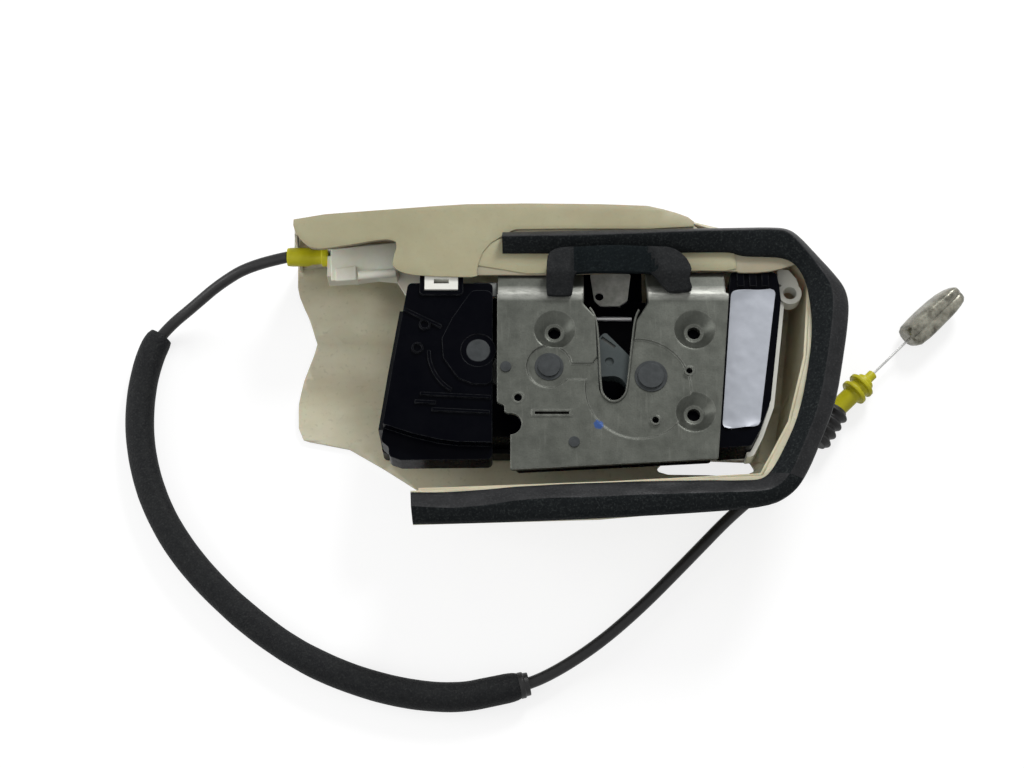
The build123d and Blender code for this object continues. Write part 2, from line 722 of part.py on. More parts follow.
# Inside lever: pulled by the cable, pushes the follower of the release lever
def inside_lever():
    top = inside_top()
    low = top - lever_thickness
    x, y = cable_end
    aim = math.degrees(math.atan2(y - inside_pivot[1], x - inside_pivot[0]))
    reach = math.hypot(x - inside_pivot[0], y - inside_pivot[1])
    face = disc(inside_pivot, inside_hub_radius) + disc(cable_end, fork_head_radius)
    face += bar(polar(inside_pivot, reach / 2, aim), reach, inside_arm_width, aim)
    slot_middle = polar(inside_pivot, reach + fork_head_radius / 2, aim)
    slot_length = fork_head_radius + 2 * (nipple_radius + fork_end_gap)
    face -= bar(slot_middle, slot_length, 2 * (nipple_radius + fork_clearance), aim)
    push = polar((0, 0), 1, 37)
    touch = (follower_place[0] - (follower_radius + push_gap) * push[0],
             follower_place[1] - (follower_radius + push_gap) * push[1])
    upper = (touch[0] - push_face / 2 * push[1], touch[1] + push_face / 2 * push[0])
    lower = (touch[0] + push_face / 2 * push[1], touch[1] - push_face / 2 * push[0])
    face += polygon([upper, lower, polar(lower, 4.5, 200), polar(inside_pivot, 3.6, 230)])
    lever = prism(face, low, top)
    return lever - post(inside_pivot, inside_pin_radius + pivot_clearance, low, top)


def inside_lever_pin():
    low = inside_top() - lever_thickness - moving_gap
    return post(inside_pivot, inside_pin_radius, low, case_front - case_wall)


def latch_wire():
    start = fitting_end - latch_wire_tail
    wire = Pos(start, cable_end[1], cable_level) * Rot(0, 90, 0) * Cylinder(
        wire_radius, cable_end[0] - start, align=(Align.CENTER, Align.CENTER, Align.MIN))
    nipple_top = cable_level + 2 * wire_radius
    return wire + post(cable_end, nipple_radius, nipple_top - nipple_height, nipple_top)


# Involute gear outline, worked out tooth by tooth
def gear_face(teeth, turn):
    pitch = gear_module * teeth / 2
    base = pitch * math.cos(math.radians(pressure_angle))
    tip = pitch + gear_module * 0.95
    root = pitch - gear_module * 1.2
    half = math.pi / (2 * teeth) - backlash / (2 * pitch)
    rolled = math.tan(math.radians(pressure_angle)) - math.radians(pressure_angle)
    points = []
    for tooth in range(teeth):
        middle = turn + 2 * math.pi * tooth / teeth
        flank = []
        for step in range(4):
            radius = max(base, root) + (tip - max(base, root)) * step / 3
            lean = math.acos(base / radius)
            flank.append((radius, half + rolled - (math.tan(lean) - lean)))
        if base > root:
            flank.insert(0, (root, flank[0][1]))
        for radius, away in flank:
            points.append(polar((0, 0), radius, math.degrees(middle - away)))
        for radius, away in reversed(flank):
            points.append(polar((0, 0), radius, math.degrees(middle + away)))
    return polygon(points)


def gear_low():
    return case_back + gear_lift


def motor_place():
    spacing = gear_module * (gear_teeth + pinion_teeth) / 2
    return polar(gear_place, spacing, motor_direction)


def cam_start():
    x = follower_place[0] - gear_place[0]
    y = follower_place[1] - gear_place[1]
    return math.hypot(x, y) - follower_radius - cam_gap, math.degrees(math.atan2(y, x))


# Release gear: toothed wheel with a snail cam that pushes the follower of the release lever
def release_gear():
    low = gear_low()
    top = low + gear_thickness
    x, y = gear_place
    wheel = prism(Pos(x, y) * gear_face(gear_teeth, math.radians(motor_direction)), low, top)
    radius, angle = cam_start()
    steps = 8
    points = []
    for step in range(-1, steps + 2):
        turned = gear_travel * step / steps
        points.append(polar(gear_place, radius + cam_rise * step / steps, angle - turned))
    rise = Spline(*points)
    back = ThreePointArc(points[-1], polar(gear_place, cam_dwell_radius, angle + 150), points[0])
    wheel += prism(make_face(rise.edges() + back.edges()), top, top + cam_height)
    return wheel - post(gear_place, gear_pin_radius + pivot_clearance, low, top + cam_height)


def gear_pin():
    low = case_back - cover_thickness / 2
    return post(gear_place, gear_pin_radius, low, gear_low() + gear_thickness + cam_height + moving_gap)


def motor_low():
    return gear_low() + gear_thickness + cam_height + motor_gap


def motor_high():
    return case_front - case_wall - motor_head_gap


def motor():
    can = disc(motor_place(), motor_radius) & bar(motor_place(), 2 * motor_radius, 1.7 * motor_radius, 0)
    shape = prism(can, motor_low(), motor_high())
    collar = post(motor_place(), 3 * motor_shaft_radius, motor_low() - motor_gap / 2, motor_low())
    middle = (motor_low() + motor_high()) / 2
    bore = post(motor_place(), motor_shaft_radius + fit_clearance, motor_low() - motor_gap, middle)
    return shape + collar - bore


def motor_pinion():
    x, y = motor_place()
    turn = math.radians(motor_direction) + math.pi + math.pi / pinion_teeth
    pinion = prism(Pos(x, y) * gear_face(pinion_teeth, turn), gear_low(), gear_low() + gear_thickness)
    middle = (motor_low() + motor_high()) / 2
    return pinion + post(motor_place(), motor_shaft_radius, gear_low(), middle - motor_gap)


# Housing of the actuator: one moulding, open at the back
def above_step(outline):
    return polygon(outline) & half_plane_above(deep_outline[1][1])


def case_outline():
    return above_step(left_lobe) + polygon(deep_outline) + above_step(right_lobe)


# The lobes stand in steps: a chin set back from the front, and a shallower lower end
def front_case():
    left = polygon(left_lobe, case_corner)
    right = polygon(right_lobe, case_corner)
    deep = polygon(deep_outline)
    chin = polygon(chin_line)
    chin_level = case_front - chin_depth
    case = prism(left + right, step_level, chin_level) + prism(left - chin + right, chin_level, case_front)
    case += prism(case_outline(), case_back, step_level) + prism(deep, step_level, pocket_floor)
    front = case_front - case_wall
    for lobe in (left_lobe, right_lobe):
        case -= prism(offset(above_step(lobe), -case_wall), case_back, step_level + case_wall)
        case -= prism(offset(polygon(lobe), -case_wall), step_level + case_wall, chin_level - case_wall)
        upper = polygon(lobe) - chin
        case -= prism(offset(upper, -case_wall), chin_level - case_wall, front)
    inner = offset(deep, -case_wall)
    case -= prism(inner, case_back, pocket_floor - case_wall)
    case += mouth_box()
    case -= prism(polygon(mouth_room), pocket_floor - mouth_depth, pocket_floor)
    case -= window_between(polygon(left_lobe), deep)
    low, high = lever_window
    window = Pos(-deep_half, (low + high) / 2) * Rectangle(3 * case_wall, high - low)
    case -= prism(window, pocket_floor, lever_top + moving_gap)
    for place in screw_places:
        boss_top = case_front if abs(place[0]) > deep_half else pocket_floor
        case += post(place, screw_boss_radius, case_back, boss_top - case_wall / 2)
        case -= post(place, screw_radius + fit_clearance, case_back, case_back + screw_length)
    case += prism(polygon(boss_outline, boss_corner) & left, front, case_front + boss_rise)
    case += post(lever_pin_place, lever_disc_radius + disc_rim, front - case_wall, case_front + disc_proud)
    case -= post(lever_pin_place, lever_disc_radius + disc_rim, case_front + disc_proud, 0)
    case -= post(lever_pin_place, lever_disc_radius + fit_clearance, front, case_front + disc_proud)
    case -= post(lever_pin_place, lever_pin_radius + fit_clearance, front - case_wall, case_front)
    case += post(inside_pivot, inside_hub_radius, inside_top() + moving_gap, front)
    case -= post(inside_pivot, inside_pin_radius + fit_clearance, inside_top(), front)
    case += motor_cup(front)
    shift_x, shift_y = arm_window_shift
    arm = Pos(cable_end[0] + shift_x, inside_pivot[1] + shift_y) * Rectangle(*arm_window_size)
    case -= prism(arm, inside_top() - lever_thickness - moving_gap, inside_top() + moving_gap)
    x, y = socket_place
    socket = Pos(x, y) * Rectangle(*socket_size)
    case += prism(offset(socket, case_wall * 0.8), case_front - socket_depth, case_front + 1)
    case -= prism(socket, case_front - socket_depth + case_wall, case_front + 1)
    return case + case_ribs()


def mouth_box():
    shell = offset(polygon(mouth_room), case_wall) & polygon(deep_outline)
    return prism(shell, pocket_floor - mouth_depth - case_wall, pocket_floor - case_wall / 2)


def window_between(side, deep):
    box = side.bounding_box()
    edge = box.max.X if box.max.X < 0 else box.min.X
    box_deep = deep.bounding_box()
    low = box_deep.min.Y + case_wall
    high = box_deep.max.Y - case_wall
    opening = Pos(edge, (low + high) / 2) * Rectangle(3 * case_wall, high - low)
    return prism(opening, case_back, pocket_floor - case_wall)


def motor_cup(front):
    top = motor_high()
    outer = disc(motor_place(), motor_radius + motor_cup_wall)
    inner = disc(motor_place(), motor_radius + fit_clearance)
    cup = prism(outer - inner, top - motor_cup_depth, front)
    return cup + prism(outer, top, front)


def case_ribs():
    high = case_front + rib_height
    faces = bar(spoke_rib[:2], spoke_rib[2], rib_width, spoke_rib[3])
    for place in eye_places:
        faces += disc(place, eye_radius) - disc(place, eye_radius - rib_width / 2)
    for x, y, length in long_ribs:
        faces += bar((x, y), length, rib_width, long_rib_lean)
    start, end = arc_rib_angles
    arc = sector(lever_pin_place, arc_rib_radius + rib_width, start, end)
    faces += arc - disc(lever_pin_place, arc_rib_radius)
    for index in range(step_rib_count):
        place = (step_rib_start[0] + step_rib_pitch * index, step_rib_start[1])
        faces += bar(place, *step_rib_size, 0)
    return prism(faces, case_front - rib_height, high)


# White rear cover that closes the housing from behind
def rear_cover():
    outline = case_outline()
    inner = offset(outline, cover_gap)
    outer = offset(outline, cover_gap + cover_wall)
    cover = prism(outer, cover_back, case_back)
    wall = outer - inner
    cover += prism(wall, case_back, case_back + cover_low_wall)
    low_side = half_plane_above(deep_outline[1][1]) - half_plane_above(side_rim_top)
    high_side = half_plane_above(deep_outline[1][1]) - half_plane_above(hook_place[1])
    left_side = wall & low_side & half_plane_left(left_lobe[0][0])
    right_side = (wall & high_side) - half_plane_left(right_lobe[3][0])
    cover += prism(left_side + right_side, case_back, cover_rim)
    lobe = offset(polygon(right_lobe), cover_gap)
    skirt = offset(polygon(right_lobe), cover_gap + cover_wall) - lobe
    x, y = skirt_corner
    skirt &= Pos(x + skirt_reach / 2, y + skirt_reach / 2) * Rectangle(skirt_reach, skirt_reach)
    cover += prism(skirt, step_level, cover_rim)
    hook = polygon(hook_head, hook_head_corner) + disc(hook_place, hook_outer)
    hook -= disc(hook_place, hook_inner) + lobe
    cover += prism(hook, cover_rim - hook_height, cover_rim + 1)
    column = case_back + column_height()
    cover += post(lever_pin_place, column_radius, case_back, column)
    cover -= post(lever_pin_place, lever_pin_radius + fit_clearance, column - pin_socket_depth, column)
    cover += post(gear_place, gear_boss_radius, case_back, gear_low() - moving_gap)
    low = case_back - cover_thickness / 2
    cover -= post(gear_place, gear_pin_radius + fit_clearance, low, gear_low())
    for place in screw_places:
        cover -= post(place, screw_radius + 2 * fit_clearance, cover_back, case_back)
    return cover


def case_screws():
    screws = Part()
    for place in screw_places:
        head = post(place, screw_head_radius, cover_back - screw_head_height, cover_back)
        socket = Pos(*place) * RegularPolygon(screw_drive_radius, 6)
        drive = prism(socket, cover_back - screw_head_height, cover_back - screw_head_height / 2)
        screws += head - drive + post(place, screw_radius, cover_back, case_back + screw_length - 1)
    return screws


def harness_plug():
    x, y = socket_place
    size = (socket_size[0] - 2 * plug_gap, socket_size[1] - 2 * plug_gap)
    low = case_front - socket_depth + case_wall
    plug = prism(Pos(x, y) * Rectangle(*size), low, case_front + 1.6)
    hollow = Pos(x, y + 0.6) * Rectangle(*plug_slot)
    return plug - prism(hollow, case_front + 1.6 - plug_slot_depth, case_front + 1.6)


def plug_blades():
    x, y = socket_place
    low = case_front + 1.6 - plug_slot_depth
    blades = Part()
    for index in (-1, 0, 1):
        blade = Pos(x + index * blade_pitch, y + 0.6) * Rectangle(*blade_size)
        blades += prism(blade, low, low + blade_height)
    return blades


def ajar_switch():
    length, width, height = switch_size
    top = pocket_floor - case_wall
    body = prism(Pos(*switch_place) * Rectangle(length, width), top - height, top)
    button = prism(Pos(switch_place[0] - 3, switch_place[1] + width / 2 + 0.5) * Rectangle(2.4, 1.0),
                   top - height / 2, top - height / 2 + 2)
    return body + button


def lead_frame():
    top = case_back + strip_thickness
    middle = (strip_rows[0] + strip_rows[-1]) / 2
    strips = Part()
    for y in strip_rows:
        strip = Pos(strip_left + strip_length / 2, y) * Rectangle(strip_length, strip_width)
        strips += prism(strip, case_back, top)
    spine = strip_rows[-1] - strip_rows[0] + strip_width
    return strips + prism(Pos(strip_left, middle) * Rectangle(strip_width, spine), case_back, top)


# Pieces seen in the mouth of the slot
def striker_tongue():
    top = pocket_floor - mouth_depth + tongue_thickness
    face = polygon(tongue_outline, 0.8) - disc(tongue_hole, tongue_hole_radius)
    return prism(face, top - tongue_thickness, top)


def guide_bar():
    x, y = guide_bar_place
    level = pocket_floor - mouth_depth + guide_bar_radius
    return Pos(x, y, level) * Rot(0, 90, 0) * Cylinder(guide_bar_radius, guide_bar_length)


def label():
    return prism(polygon(label_outline, label_corner), case_front, case_front + label_thickness)


# Shield
def tub_wall_solid(inset):
    floor = Pos(0, 0, ground) * offset(polygon(tub_floor), -inset, kind=Kind.INTERSECTION)
    rim = Pos(0, 0, rim_level) * offset(polygon(tub_rim), -inset, kind=Kind.INTERSECTION)
    return loft([floor.face(), rim.face()], ruled=True)


def shield_tub():
    shell = tub_wall_solid(0) - tub_wall_solid(sheet_thickness)
    shell -= prism(polygon(tub_opening), ground, seal_height)
    sheet = polygon([tub_floor[0]] + back_edge + list(reversed(tub_floor[1:])))
    tub = prism(sheet, ground, shield_top)
    shell -= prism(polygon(tub_rim), rim_level - sheet_thickness, rim_level)
    tub += shell
    tub -= prism(polygon(drain_outline, drain_corner), ground, shield_top)
    return tub + prism(flange_face(), rim_level - sheet_thickness, rim_level)


def flange_face():
    face = polygon(seal_outer + list(reversed(tub_rim[5:])))
    return face - offset(polygon(tub_rim), -sheet_thickness, kind=Kind.INTERSECTION)


def shield_flap():
    top = tub_rim[:7]
    face = polygon(flap_left + flap_edge + list(reversed(top)))
    face -= flange_face()
    return prism(face, rim_level - sheet_thickness, rim_level)


def rim_seal():
    return prism(polygon(seal_outer + seal_inner), rim_level, rim_level + seal_height)


def mouth_seal():
    return prism(polygon(mouth_seal_outline), mouth_seal_low, mouth_seal_low + mouth_seal_height)


# Cable pieces
def corner_radii(points):
    radii = []
    for index in range(1, len(points) - 1):
        before = Vector(*points[index]) - Vector(*points[index - 1])
        after = Vector(*points[index + 1]) - Vector(*points[index])
        turn = math.radians(before.get_angle(after))
        radii.append(0.45 * min(before.length, after.length) / math.tan(turn / 2))
    return radii


def along_route(points, radius):
    path = FilletPolyline(*points, radius=corner_radii(points))
    start = Plane(origin=path @ 0, z_dir=path % 0)
    return sweep(start * Circle(radius), path=path), path


def whole_route():
    return route_to_sleeve + route_in_sleeve + route_to_boot + [(*handle_start, handle_level)]


def halfway(first, second):
    return tuple((a + b) / 2 for a, b in zip(first, second))


def sleeve_route():
    start = halfway(route_to_sleeve[-1], route_in_sleeve[0])
    end = halfway(route_in_sleeve[-1], route_to_boot[0])
    return [start] + route_in_sleeve + [end]


def cable_conduit():
    tube, path = along_route(whole_route(), conduit_radius)
    print("conduit radii", [round(radius) for radius in corner_radii(whole_route())])
    print("conduit length", round(path.length, 1), "volume", round(tube.volume),
          "section times length", round(math.pi * conduit_radius ** 2 * path.length))
    return tube


def foam_sleeve():
    outer, path = along_route(sleeve_route(), sleeve_radius)
    inner, path = along_route(sleeve_route(), sleeve_bore)
    print("sleeve length", round(path.length, 1))
    return outer - inner


def sleeve_band():
    end = Vector(*sleeve_route()[-1])
    before = Vector(*sleeve_route()[-2])
    direction = (end - before).normalized()
    frame = Plane(origin=end + direction * band_lead, z_dir=direction)
    ring_face = Circle(sleeve_radius - band_step) - Circle(sleeve_bore)
    return extrude(frame * ring_face, band_length / 2)


def revolved(origin, direction, stations):
    side = [(radius, along) for along, radius in stations]
    points = [(0, side[0][1])] + side + [(0, side[-1][1])]
    face = make_face(Plane.XZ * Polyline(*points, close=True))
    body = revolve(face, Axis.Z)
    return Plane(origin=origin, z_dir=direction) * body


def step_stations(sections):
    stations = []
    for start, end, radius in sections:
        stations += [(start, radius), (end, radius)]
    return stations


def latch_end_fitting():
    length = fitting_end - fitting_start
    flange = length - fitting_flange_width
    sections = [(0, fitting_step, fitting_flange_radius), (fitting_step, flange, fitting_body_radius),
                (flange, length, fitting_flange_radius)]
    body = revolved((fitting_start, cable_end[1], cable_level), (1, 0, 0), step_stations(sections))
    bore = revolved((fitting_end - fitting_bore_depth, cable_end[1], cable_level), (1, 0, 0),
                    step_stations([(0, fitting_bore_depth, fitting_bore_radius)]))
    return body - bore


# White tray between the housing and the shield's top wall, which holds the latch end of the cable
def cable_tray():
    low = cable_level - tray_drop
    high = cable_level + tray_rise
    tray = prism(polygon(tray_outline), low, low + tray_floor)
    tray += prism(polygon(tray_band) + Pos(*tray_web) * Rectangle(*tray_web_size), low, high)
    tray &= tub_wall_solid(sheet_thickness)
    slot = Pos(fitting_end, cable_end[1]) * Rectangle(2 * tray_rise, tray_slot)
    return tray - prism(slot, cable_level - tray_slot / 2, high)


def handle_axis():
    turn = math.radians(handle_direction)
    return Vector(math.cos(turn), math.sin(turn), 0)


def handle_point(along):
    return Vector(*handle_start, handle_level) + handle_axis() * along


def handle_end_fitting():
    stations = [(0, handle_body_radius)]
    for place in handle_flange_places:
        stations += [(place, handle_body_radius), (place, handle_flange_radius),
                     (place + handle_flange_width, handle_flange_radius),
                     (place + handle_flange_width, handle_body_radius)]
    shoulder = handle_length - handle_tip_length
    stations += [(shoulder, handle_body_radius), (shoulder + 1, handle_tip_radius),
                 (handle_length, handle_tip_radius)]
    body = revolved(tuple(handle_point(0)), tuple(handle_axis()), stations)
    bore = revolved(tuple(handle_point(handle_length - handle_bore_depth)), tuple(handle_axis()),
                    step_stations([(0, handle_bore_depth, inner_wire_bore_radius)]))
    return body - bore


def cable_wire():
    length = inner_wire_hidden + inner_wire_shown
    return revolved(tuple(handle_point(handle_length - inner_wire_hidden)), tuple(handle_axis()),
                    step_stations([(0, length, inner_wire_radius)]))


# Clip on the handle end of the wire: a block rolled about the wire, slotted along its top
def wire_end_clip():
    start = handle_point(handle_length + inner_wire_shown - clip_lap)
    side = Plane.XZ * polygon(end_clip_side, end_clip_corner)
    block = extrude(side, end_clip_thickness / 2, both=True)
    for face in (block.faces().sort_by(Axis.Y)[0], block.faces().sort_by(Axis.Y)[-1]):
        block = fillet(face.edges(), end_clip_edge)
    high = end_clip_side[0][1]
    block -= Pos(clip_lap, 0, high) * Box(4 * clip_lap, end_clip_slot, 2 * end_clip_slot_depth)
    block -= Box(end_clip_notch, end_clip_notch, 2 * end_clip_notch)
    block = Pos(0, 0, end_clip_lift) * Rot(-end_clip_roll, 0, 0) * block
    block -= Rot(0, 90, 0) * Cylinder(inner_wire_radius, 2 * clip_lap)
    return Location(tuple(start), (0, 0, handle_direction)) * block


def boot_route():
    return [route_to_boot[-1], (*handle_start, handle_level)]


def bellows_boot():
    start = Vector(*boot_route()[0])
    end = Vector(*boot_route()[1])
    direction = (end - start).normalized()
    length = boot_ribs * boot_pitch
    origin = end - direction * (length + boot_gap)
    stations = []
    half_rib = boot_rib_width / 2
    for rib in range(boot_ribs):
        middle = (rib + 0.5) * boot_pitch
        stations += [(middle - boot_pitch / 2, boot_neck_radius), (middle - half_rib, boot_neck_radius),
                     (middle, boot_rib_radius), (middle + half_rib, boot_neck_radius)]
    stations.append((length, boot_neck_radius))
    body = revolved(tuple(origin), tuple(direction), stations)
    return body


nodes = {
    "faceplate": faceplate,
    "plate_rivets": plate_rivets,
    "catch_core": catch_core,
    "catch_jacket": catch_jacket,
    "pawl": pawl,
    "pawl_stud": pawl_stud,
    "catch_spring": catch_spring,
    "pawl_spring": pawl_spring,
    "latch_body": latch_body,
    "slot_bumper": slot_bumper,
    "catch_bumper": catch_bumper,
    "back_plate": back_plate,
    "release_lever": release_lever,
    "lever_pin": lever_pin,
    "inside_lever": inside_lever,
    "inside_lever_pin": inside_lever_pin,
    "latch_wire": latch_wire,
    "release_gear": release_gear,
    "gear_pin": gear_pin,
    "motor": motor,
    "motor_pinion": motor_pinion,
    "front_case": front_case,
    "rear_cover": rear_cover,
    "case_screws": case_screws,
    "harness_plug": harness_plug,
    "plug_blades": plug_blades,
    "ajar_switch": ajar_switch,
    "lead_frame": lead_frame,
    "striker_tongue": striker_tongue,
    "guide_bar": guide_bar,
    "label": label,
    "shield_tub": shield_tub,
    "shield_flap": shield_flap,
    "rim_seal": rim_seal,
    "mouth_seal": mouth_seal,
    "cable_conduit": cable_conduit,
    "foam_sleeve": foam_sleeve,
    "sleeve_band": sleeve_band,
    "latch_end_fitting": latch_end_fitting,
    "cable_tray": cable_tray,
    "handle_end_fitting": handle_end_fitting,
    "cable_wire": cable_wire,
    "wire_end_clip": wire_end_clip,
    "bellows_boot": bellows_boot,
}


def build():
    os.makedirs("parts", exist_ok=True)
    for name, make in nodes.items():
        export_step(make(), os.path.join("parts", name + ".step"))
    pins = {
        "catch_pin": pivot_pin(catch_pivot, catch_pin_radius, catch_head_radius),
        "pawl_pin": pivot_pin(pawl_pivot, pawl_pin_radius, pawl_head_radius),
    }
    for name, shape in pins.items():
        export_step(shape, os.path.join("parts", name + ".step"))


build()
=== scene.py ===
import bpy
import math
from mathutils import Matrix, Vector, noise


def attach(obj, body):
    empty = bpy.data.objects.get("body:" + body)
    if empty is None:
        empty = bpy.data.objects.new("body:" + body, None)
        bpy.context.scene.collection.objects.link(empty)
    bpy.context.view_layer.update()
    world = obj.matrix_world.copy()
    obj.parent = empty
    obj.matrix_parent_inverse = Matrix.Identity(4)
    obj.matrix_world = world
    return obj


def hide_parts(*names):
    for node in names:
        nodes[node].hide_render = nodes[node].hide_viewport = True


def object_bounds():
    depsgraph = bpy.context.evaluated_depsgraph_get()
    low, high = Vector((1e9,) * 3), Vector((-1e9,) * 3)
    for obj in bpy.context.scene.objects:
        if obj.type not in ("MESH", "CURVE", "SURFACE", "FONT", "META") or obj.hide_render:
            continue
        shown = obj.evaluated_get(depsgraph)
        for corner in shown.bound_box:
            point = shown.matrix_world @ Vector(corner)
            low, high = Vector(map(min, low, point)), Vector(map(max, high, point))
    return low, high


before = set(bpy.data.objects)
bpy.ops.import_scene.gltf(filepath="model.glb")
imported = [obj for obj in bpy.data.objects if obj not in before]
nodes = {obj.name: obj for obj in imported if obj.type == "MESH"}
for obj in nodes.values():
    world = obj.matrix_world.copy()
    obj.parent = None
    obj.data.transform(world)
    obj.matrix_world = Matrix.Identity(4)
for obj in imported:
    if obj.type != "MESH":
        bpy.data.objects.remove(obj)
cadLow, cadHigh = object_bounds()
mm = 0.001
print("frame loaded")


def atMm(x, y, z):
    return Vector((x, y, z)) * mm


def pick(obj):
    bpy.ops.object.select_all(action="DESELECT")
    obj.select_set(True)
    bpy.context.view_layer.objects.active = obj


def editMode(select="DESELECT"):
    bpy.ops.object.mode_set(mode="EDIT")
    bpy.ops.mesh.select_all(action=select)


def objectMode():
    bpy.ops.object.mode_set(mode="OBJECT")


def applyAll(obj):
    pick(obj)
    for modifier in list(obj.modifiers):
        bpy.ops.object.modifier_apply(modifier=modifier.name)


def tidyMesh(obj, mergeAt=0.01):
    pick(obj)
    editMode("SELECT")
    bpy.ops.mesh.remove_doubles(threshold=mergeAt * mm)
    bpy.ops.mesh.normals_make_consistent(inside=False)
    objectMode()


def smooth(obj, degrees=40):
    pick(obj)
    bpy.ops.object.shade_smooth_by_angle(angle=math.radians(degrees))


# Camera and light

view = {"place": (-38.494, -246.33, 678.68), "lean": 20.0, "lens": 66.8, "sensor": 36.0}


def makeCamera():
    pick(nodes["faceplate"])
    bpy.ops.object.camera_add(location=atMm(*view["place"]), rotation=(math.radians(view["lean"]), 0, 0))
    camera = bpy.context.object
    camera.data.lens = view["lens"]
    camera.data.sensor_width = view["sensor"]
    camera.data.clip_start = 0.01
    bpy.context.scene.camera = camera


lamps = {
    "key": {"place": (0.45, 1.1, 0.84), "size": 0.45, "power": 14.5},
    "side": {"place": (-1.1, 0.1, 0.5), "size": 0.7, "power": 5.0},
    "fill": {"place": (-0.5, -0.6, 1.1), "size": 1.2, "power": 2.4},
}
sky = {"light": 0.42, "shown": 1.0}


def makeLamps():
    for name, lamp in lamps.items():
        place = Vector(lamp["place"])
        turn = (Vector((0, 0, 0)) - place).to_track_quat("-Z", "Y").to_euler()
        bpy.ops.object.light_add(type="AREA", location=place, rotation=turn)
        light = bpy.context.object
        light.name = name + "Lamp"
        light.data.shape = "DISK"
        light.data.size = lamp["size"]
        light.data.energy = lamp["power"]


def seenRay(tree):
    # 1 for rays that show the background: straight from the camera, in gloss or through clear pieces
    path = tree.nodes.new("ShaderNodeLightPath")
    total = tree.nodes.new("ShaderNodeMath")
    total.operation = "ADD"
    tree.links.new(path.outputs["Is Camera Ray"], total.inputs[0])
    tree.links.new(path.outputs["Is Glossy Ray"], total.inputs[1])
    both = tree.nodes.new("ShaderNodeMath")
    both.operation = "ADD"
    both.use_clamp = True
    tree.links.new(total.outputs[0], both.inputs[0])
    tree.links.new(path.outputs["Is Transmission Ray"], both.inputs[1])
    return both.outputs[0]


def makeSky():
    world = bpy.data.worlds.new("softRoom")
    bpy.context.scene.world = world
    world.use_nodes = True
    tree = world.node_tree
    shown = seenRay(tree)
    level = tree.nodes.new("ShaderNodeMapRange")
    level.inputs["To Min"].default_value = sky["light"]
    level.inputs["To Max"].default_value = sky["shown"]
    tree.links.new(shown, level.inputs["Value"])
    tree.links.new(level.outputs["Result"], tree.nodes["Background"].inputs["Strength"])
    tree.nodes["Background"].inputs["Color"].default_value = (1, 1, 1, 1)


table = {"size": 6.0, "colour": (0.28, 0.28, 0.28, 1), "lift": 0.78}


def makeTable():
    bpy.ops.object.select_all(action="DESELECT")
    bpy.ops.mesh.primitive_plane_add(size=table["size"], location=(0, 0, cadLow.z - 0.02 * mm))
    floor = bpy.context.object
    floor.name = "paleTable"
    material = bpy.data.materials.new("paleTable")
    material.use_nodes = True
    tree = material.node_tree
    shader = tree.nodes["Principled BSDF"]
    shader.inputs["Base Color"].default_value = table["colour"]
    shader.inputs["Roughness"].default_value = 0.9
    shader.inputs["Specular IOR Level"].default_value = 0.0
    shader.inputs["Emission Color"].default_value = (1, 1, 1, 1)
    level = tree.nodes.new("ShaderNodeMath")
    level.operation = "MULTIPLY"
    level.inputs[1].default_value = table["lift"]
    tree.links.new(seenRay(tree), level.inputs[0])
    tree.links.new(level.outputs[0], shader.inputs["Emission Strength"])
    floor.data.materials.append(material)


makeCamera()
makeLamps()
makeSky()
makeTable()
bpy.context.scene.view_settings.view_transform = "Standard"
print("camera, lamps and table ready")


# Finishes

def linkTexture(tree, kind, scale, stretch=(1, 1, 1), turn=0.0, uv=False, **settings):
    coords = tree.nodes.new("ShaderNodeTexCoord")
    mapping = tree.nodes.new("ShaderNodeMapping")
    mapping.inputs["Scale"].default_value = stretch
    mapping.inputs["Rotation"].default_value = (0, 0, math.radians(turn))
    texture = tree.nodes.new(kind)
    texture.inputs["Scale"].default_value = scale
    for name, value in settings.items():
        texture.inputs[name].default_value = value
    tree.links.new(coords.outputs["UV" if uv else "Object"], mapping.inputs["Vector"])
    tree.links.new(mapping.outputs[0], texture.inputs["Vector"])
    return texture


def spread(tree, source, low, high, fromLow=0.3, fromHigh=0.7):
    node = tree.nodes.new("ShaderNodeMapRange")
    node.inputs["From Min"].default_value = fromLow
    node.inputs["From Max"].default_value = fromHigh
    node.inputs["To Min"].default_value = low
    node.inputs["To Max"].default_value = high
    tree.links.new(source, node.inputs["Value"])
    return node.outputs["Result"]


def mixColour(tree, factor, first, second):
    node = tree.nodes.new("ShaderNodeMix")
    node.data_type = "RGBA"
    tree.links.new(factor, node.inputs["Factor"])
    for socket, value in ((node.inputs["A"], first), (node.inputs["B"], second)):
        if hasattr(value, "links"):
            tree.links.new(value, socket)
        else:
            socket.default_value = (*value, 1)
    return node.outputs["Result"]


def addBump(tree, shader, height, strength, depth, before=None):
    bump = tree.nodes.new("ShaderNodeBump")
    bump.inputs["Strength"].default_value = strength
    bump.inputs["Distance"].default_value = depth * mm
    tree.links.new(height, bump.inputs["Height"])
    if before is not None:
        tree.links.new(before, bump.inputs["Normal"])
    tree.links.new(bump.outputs["Normal"], shader.inputs["Normal"])
    return bump.outputs["Normal"]


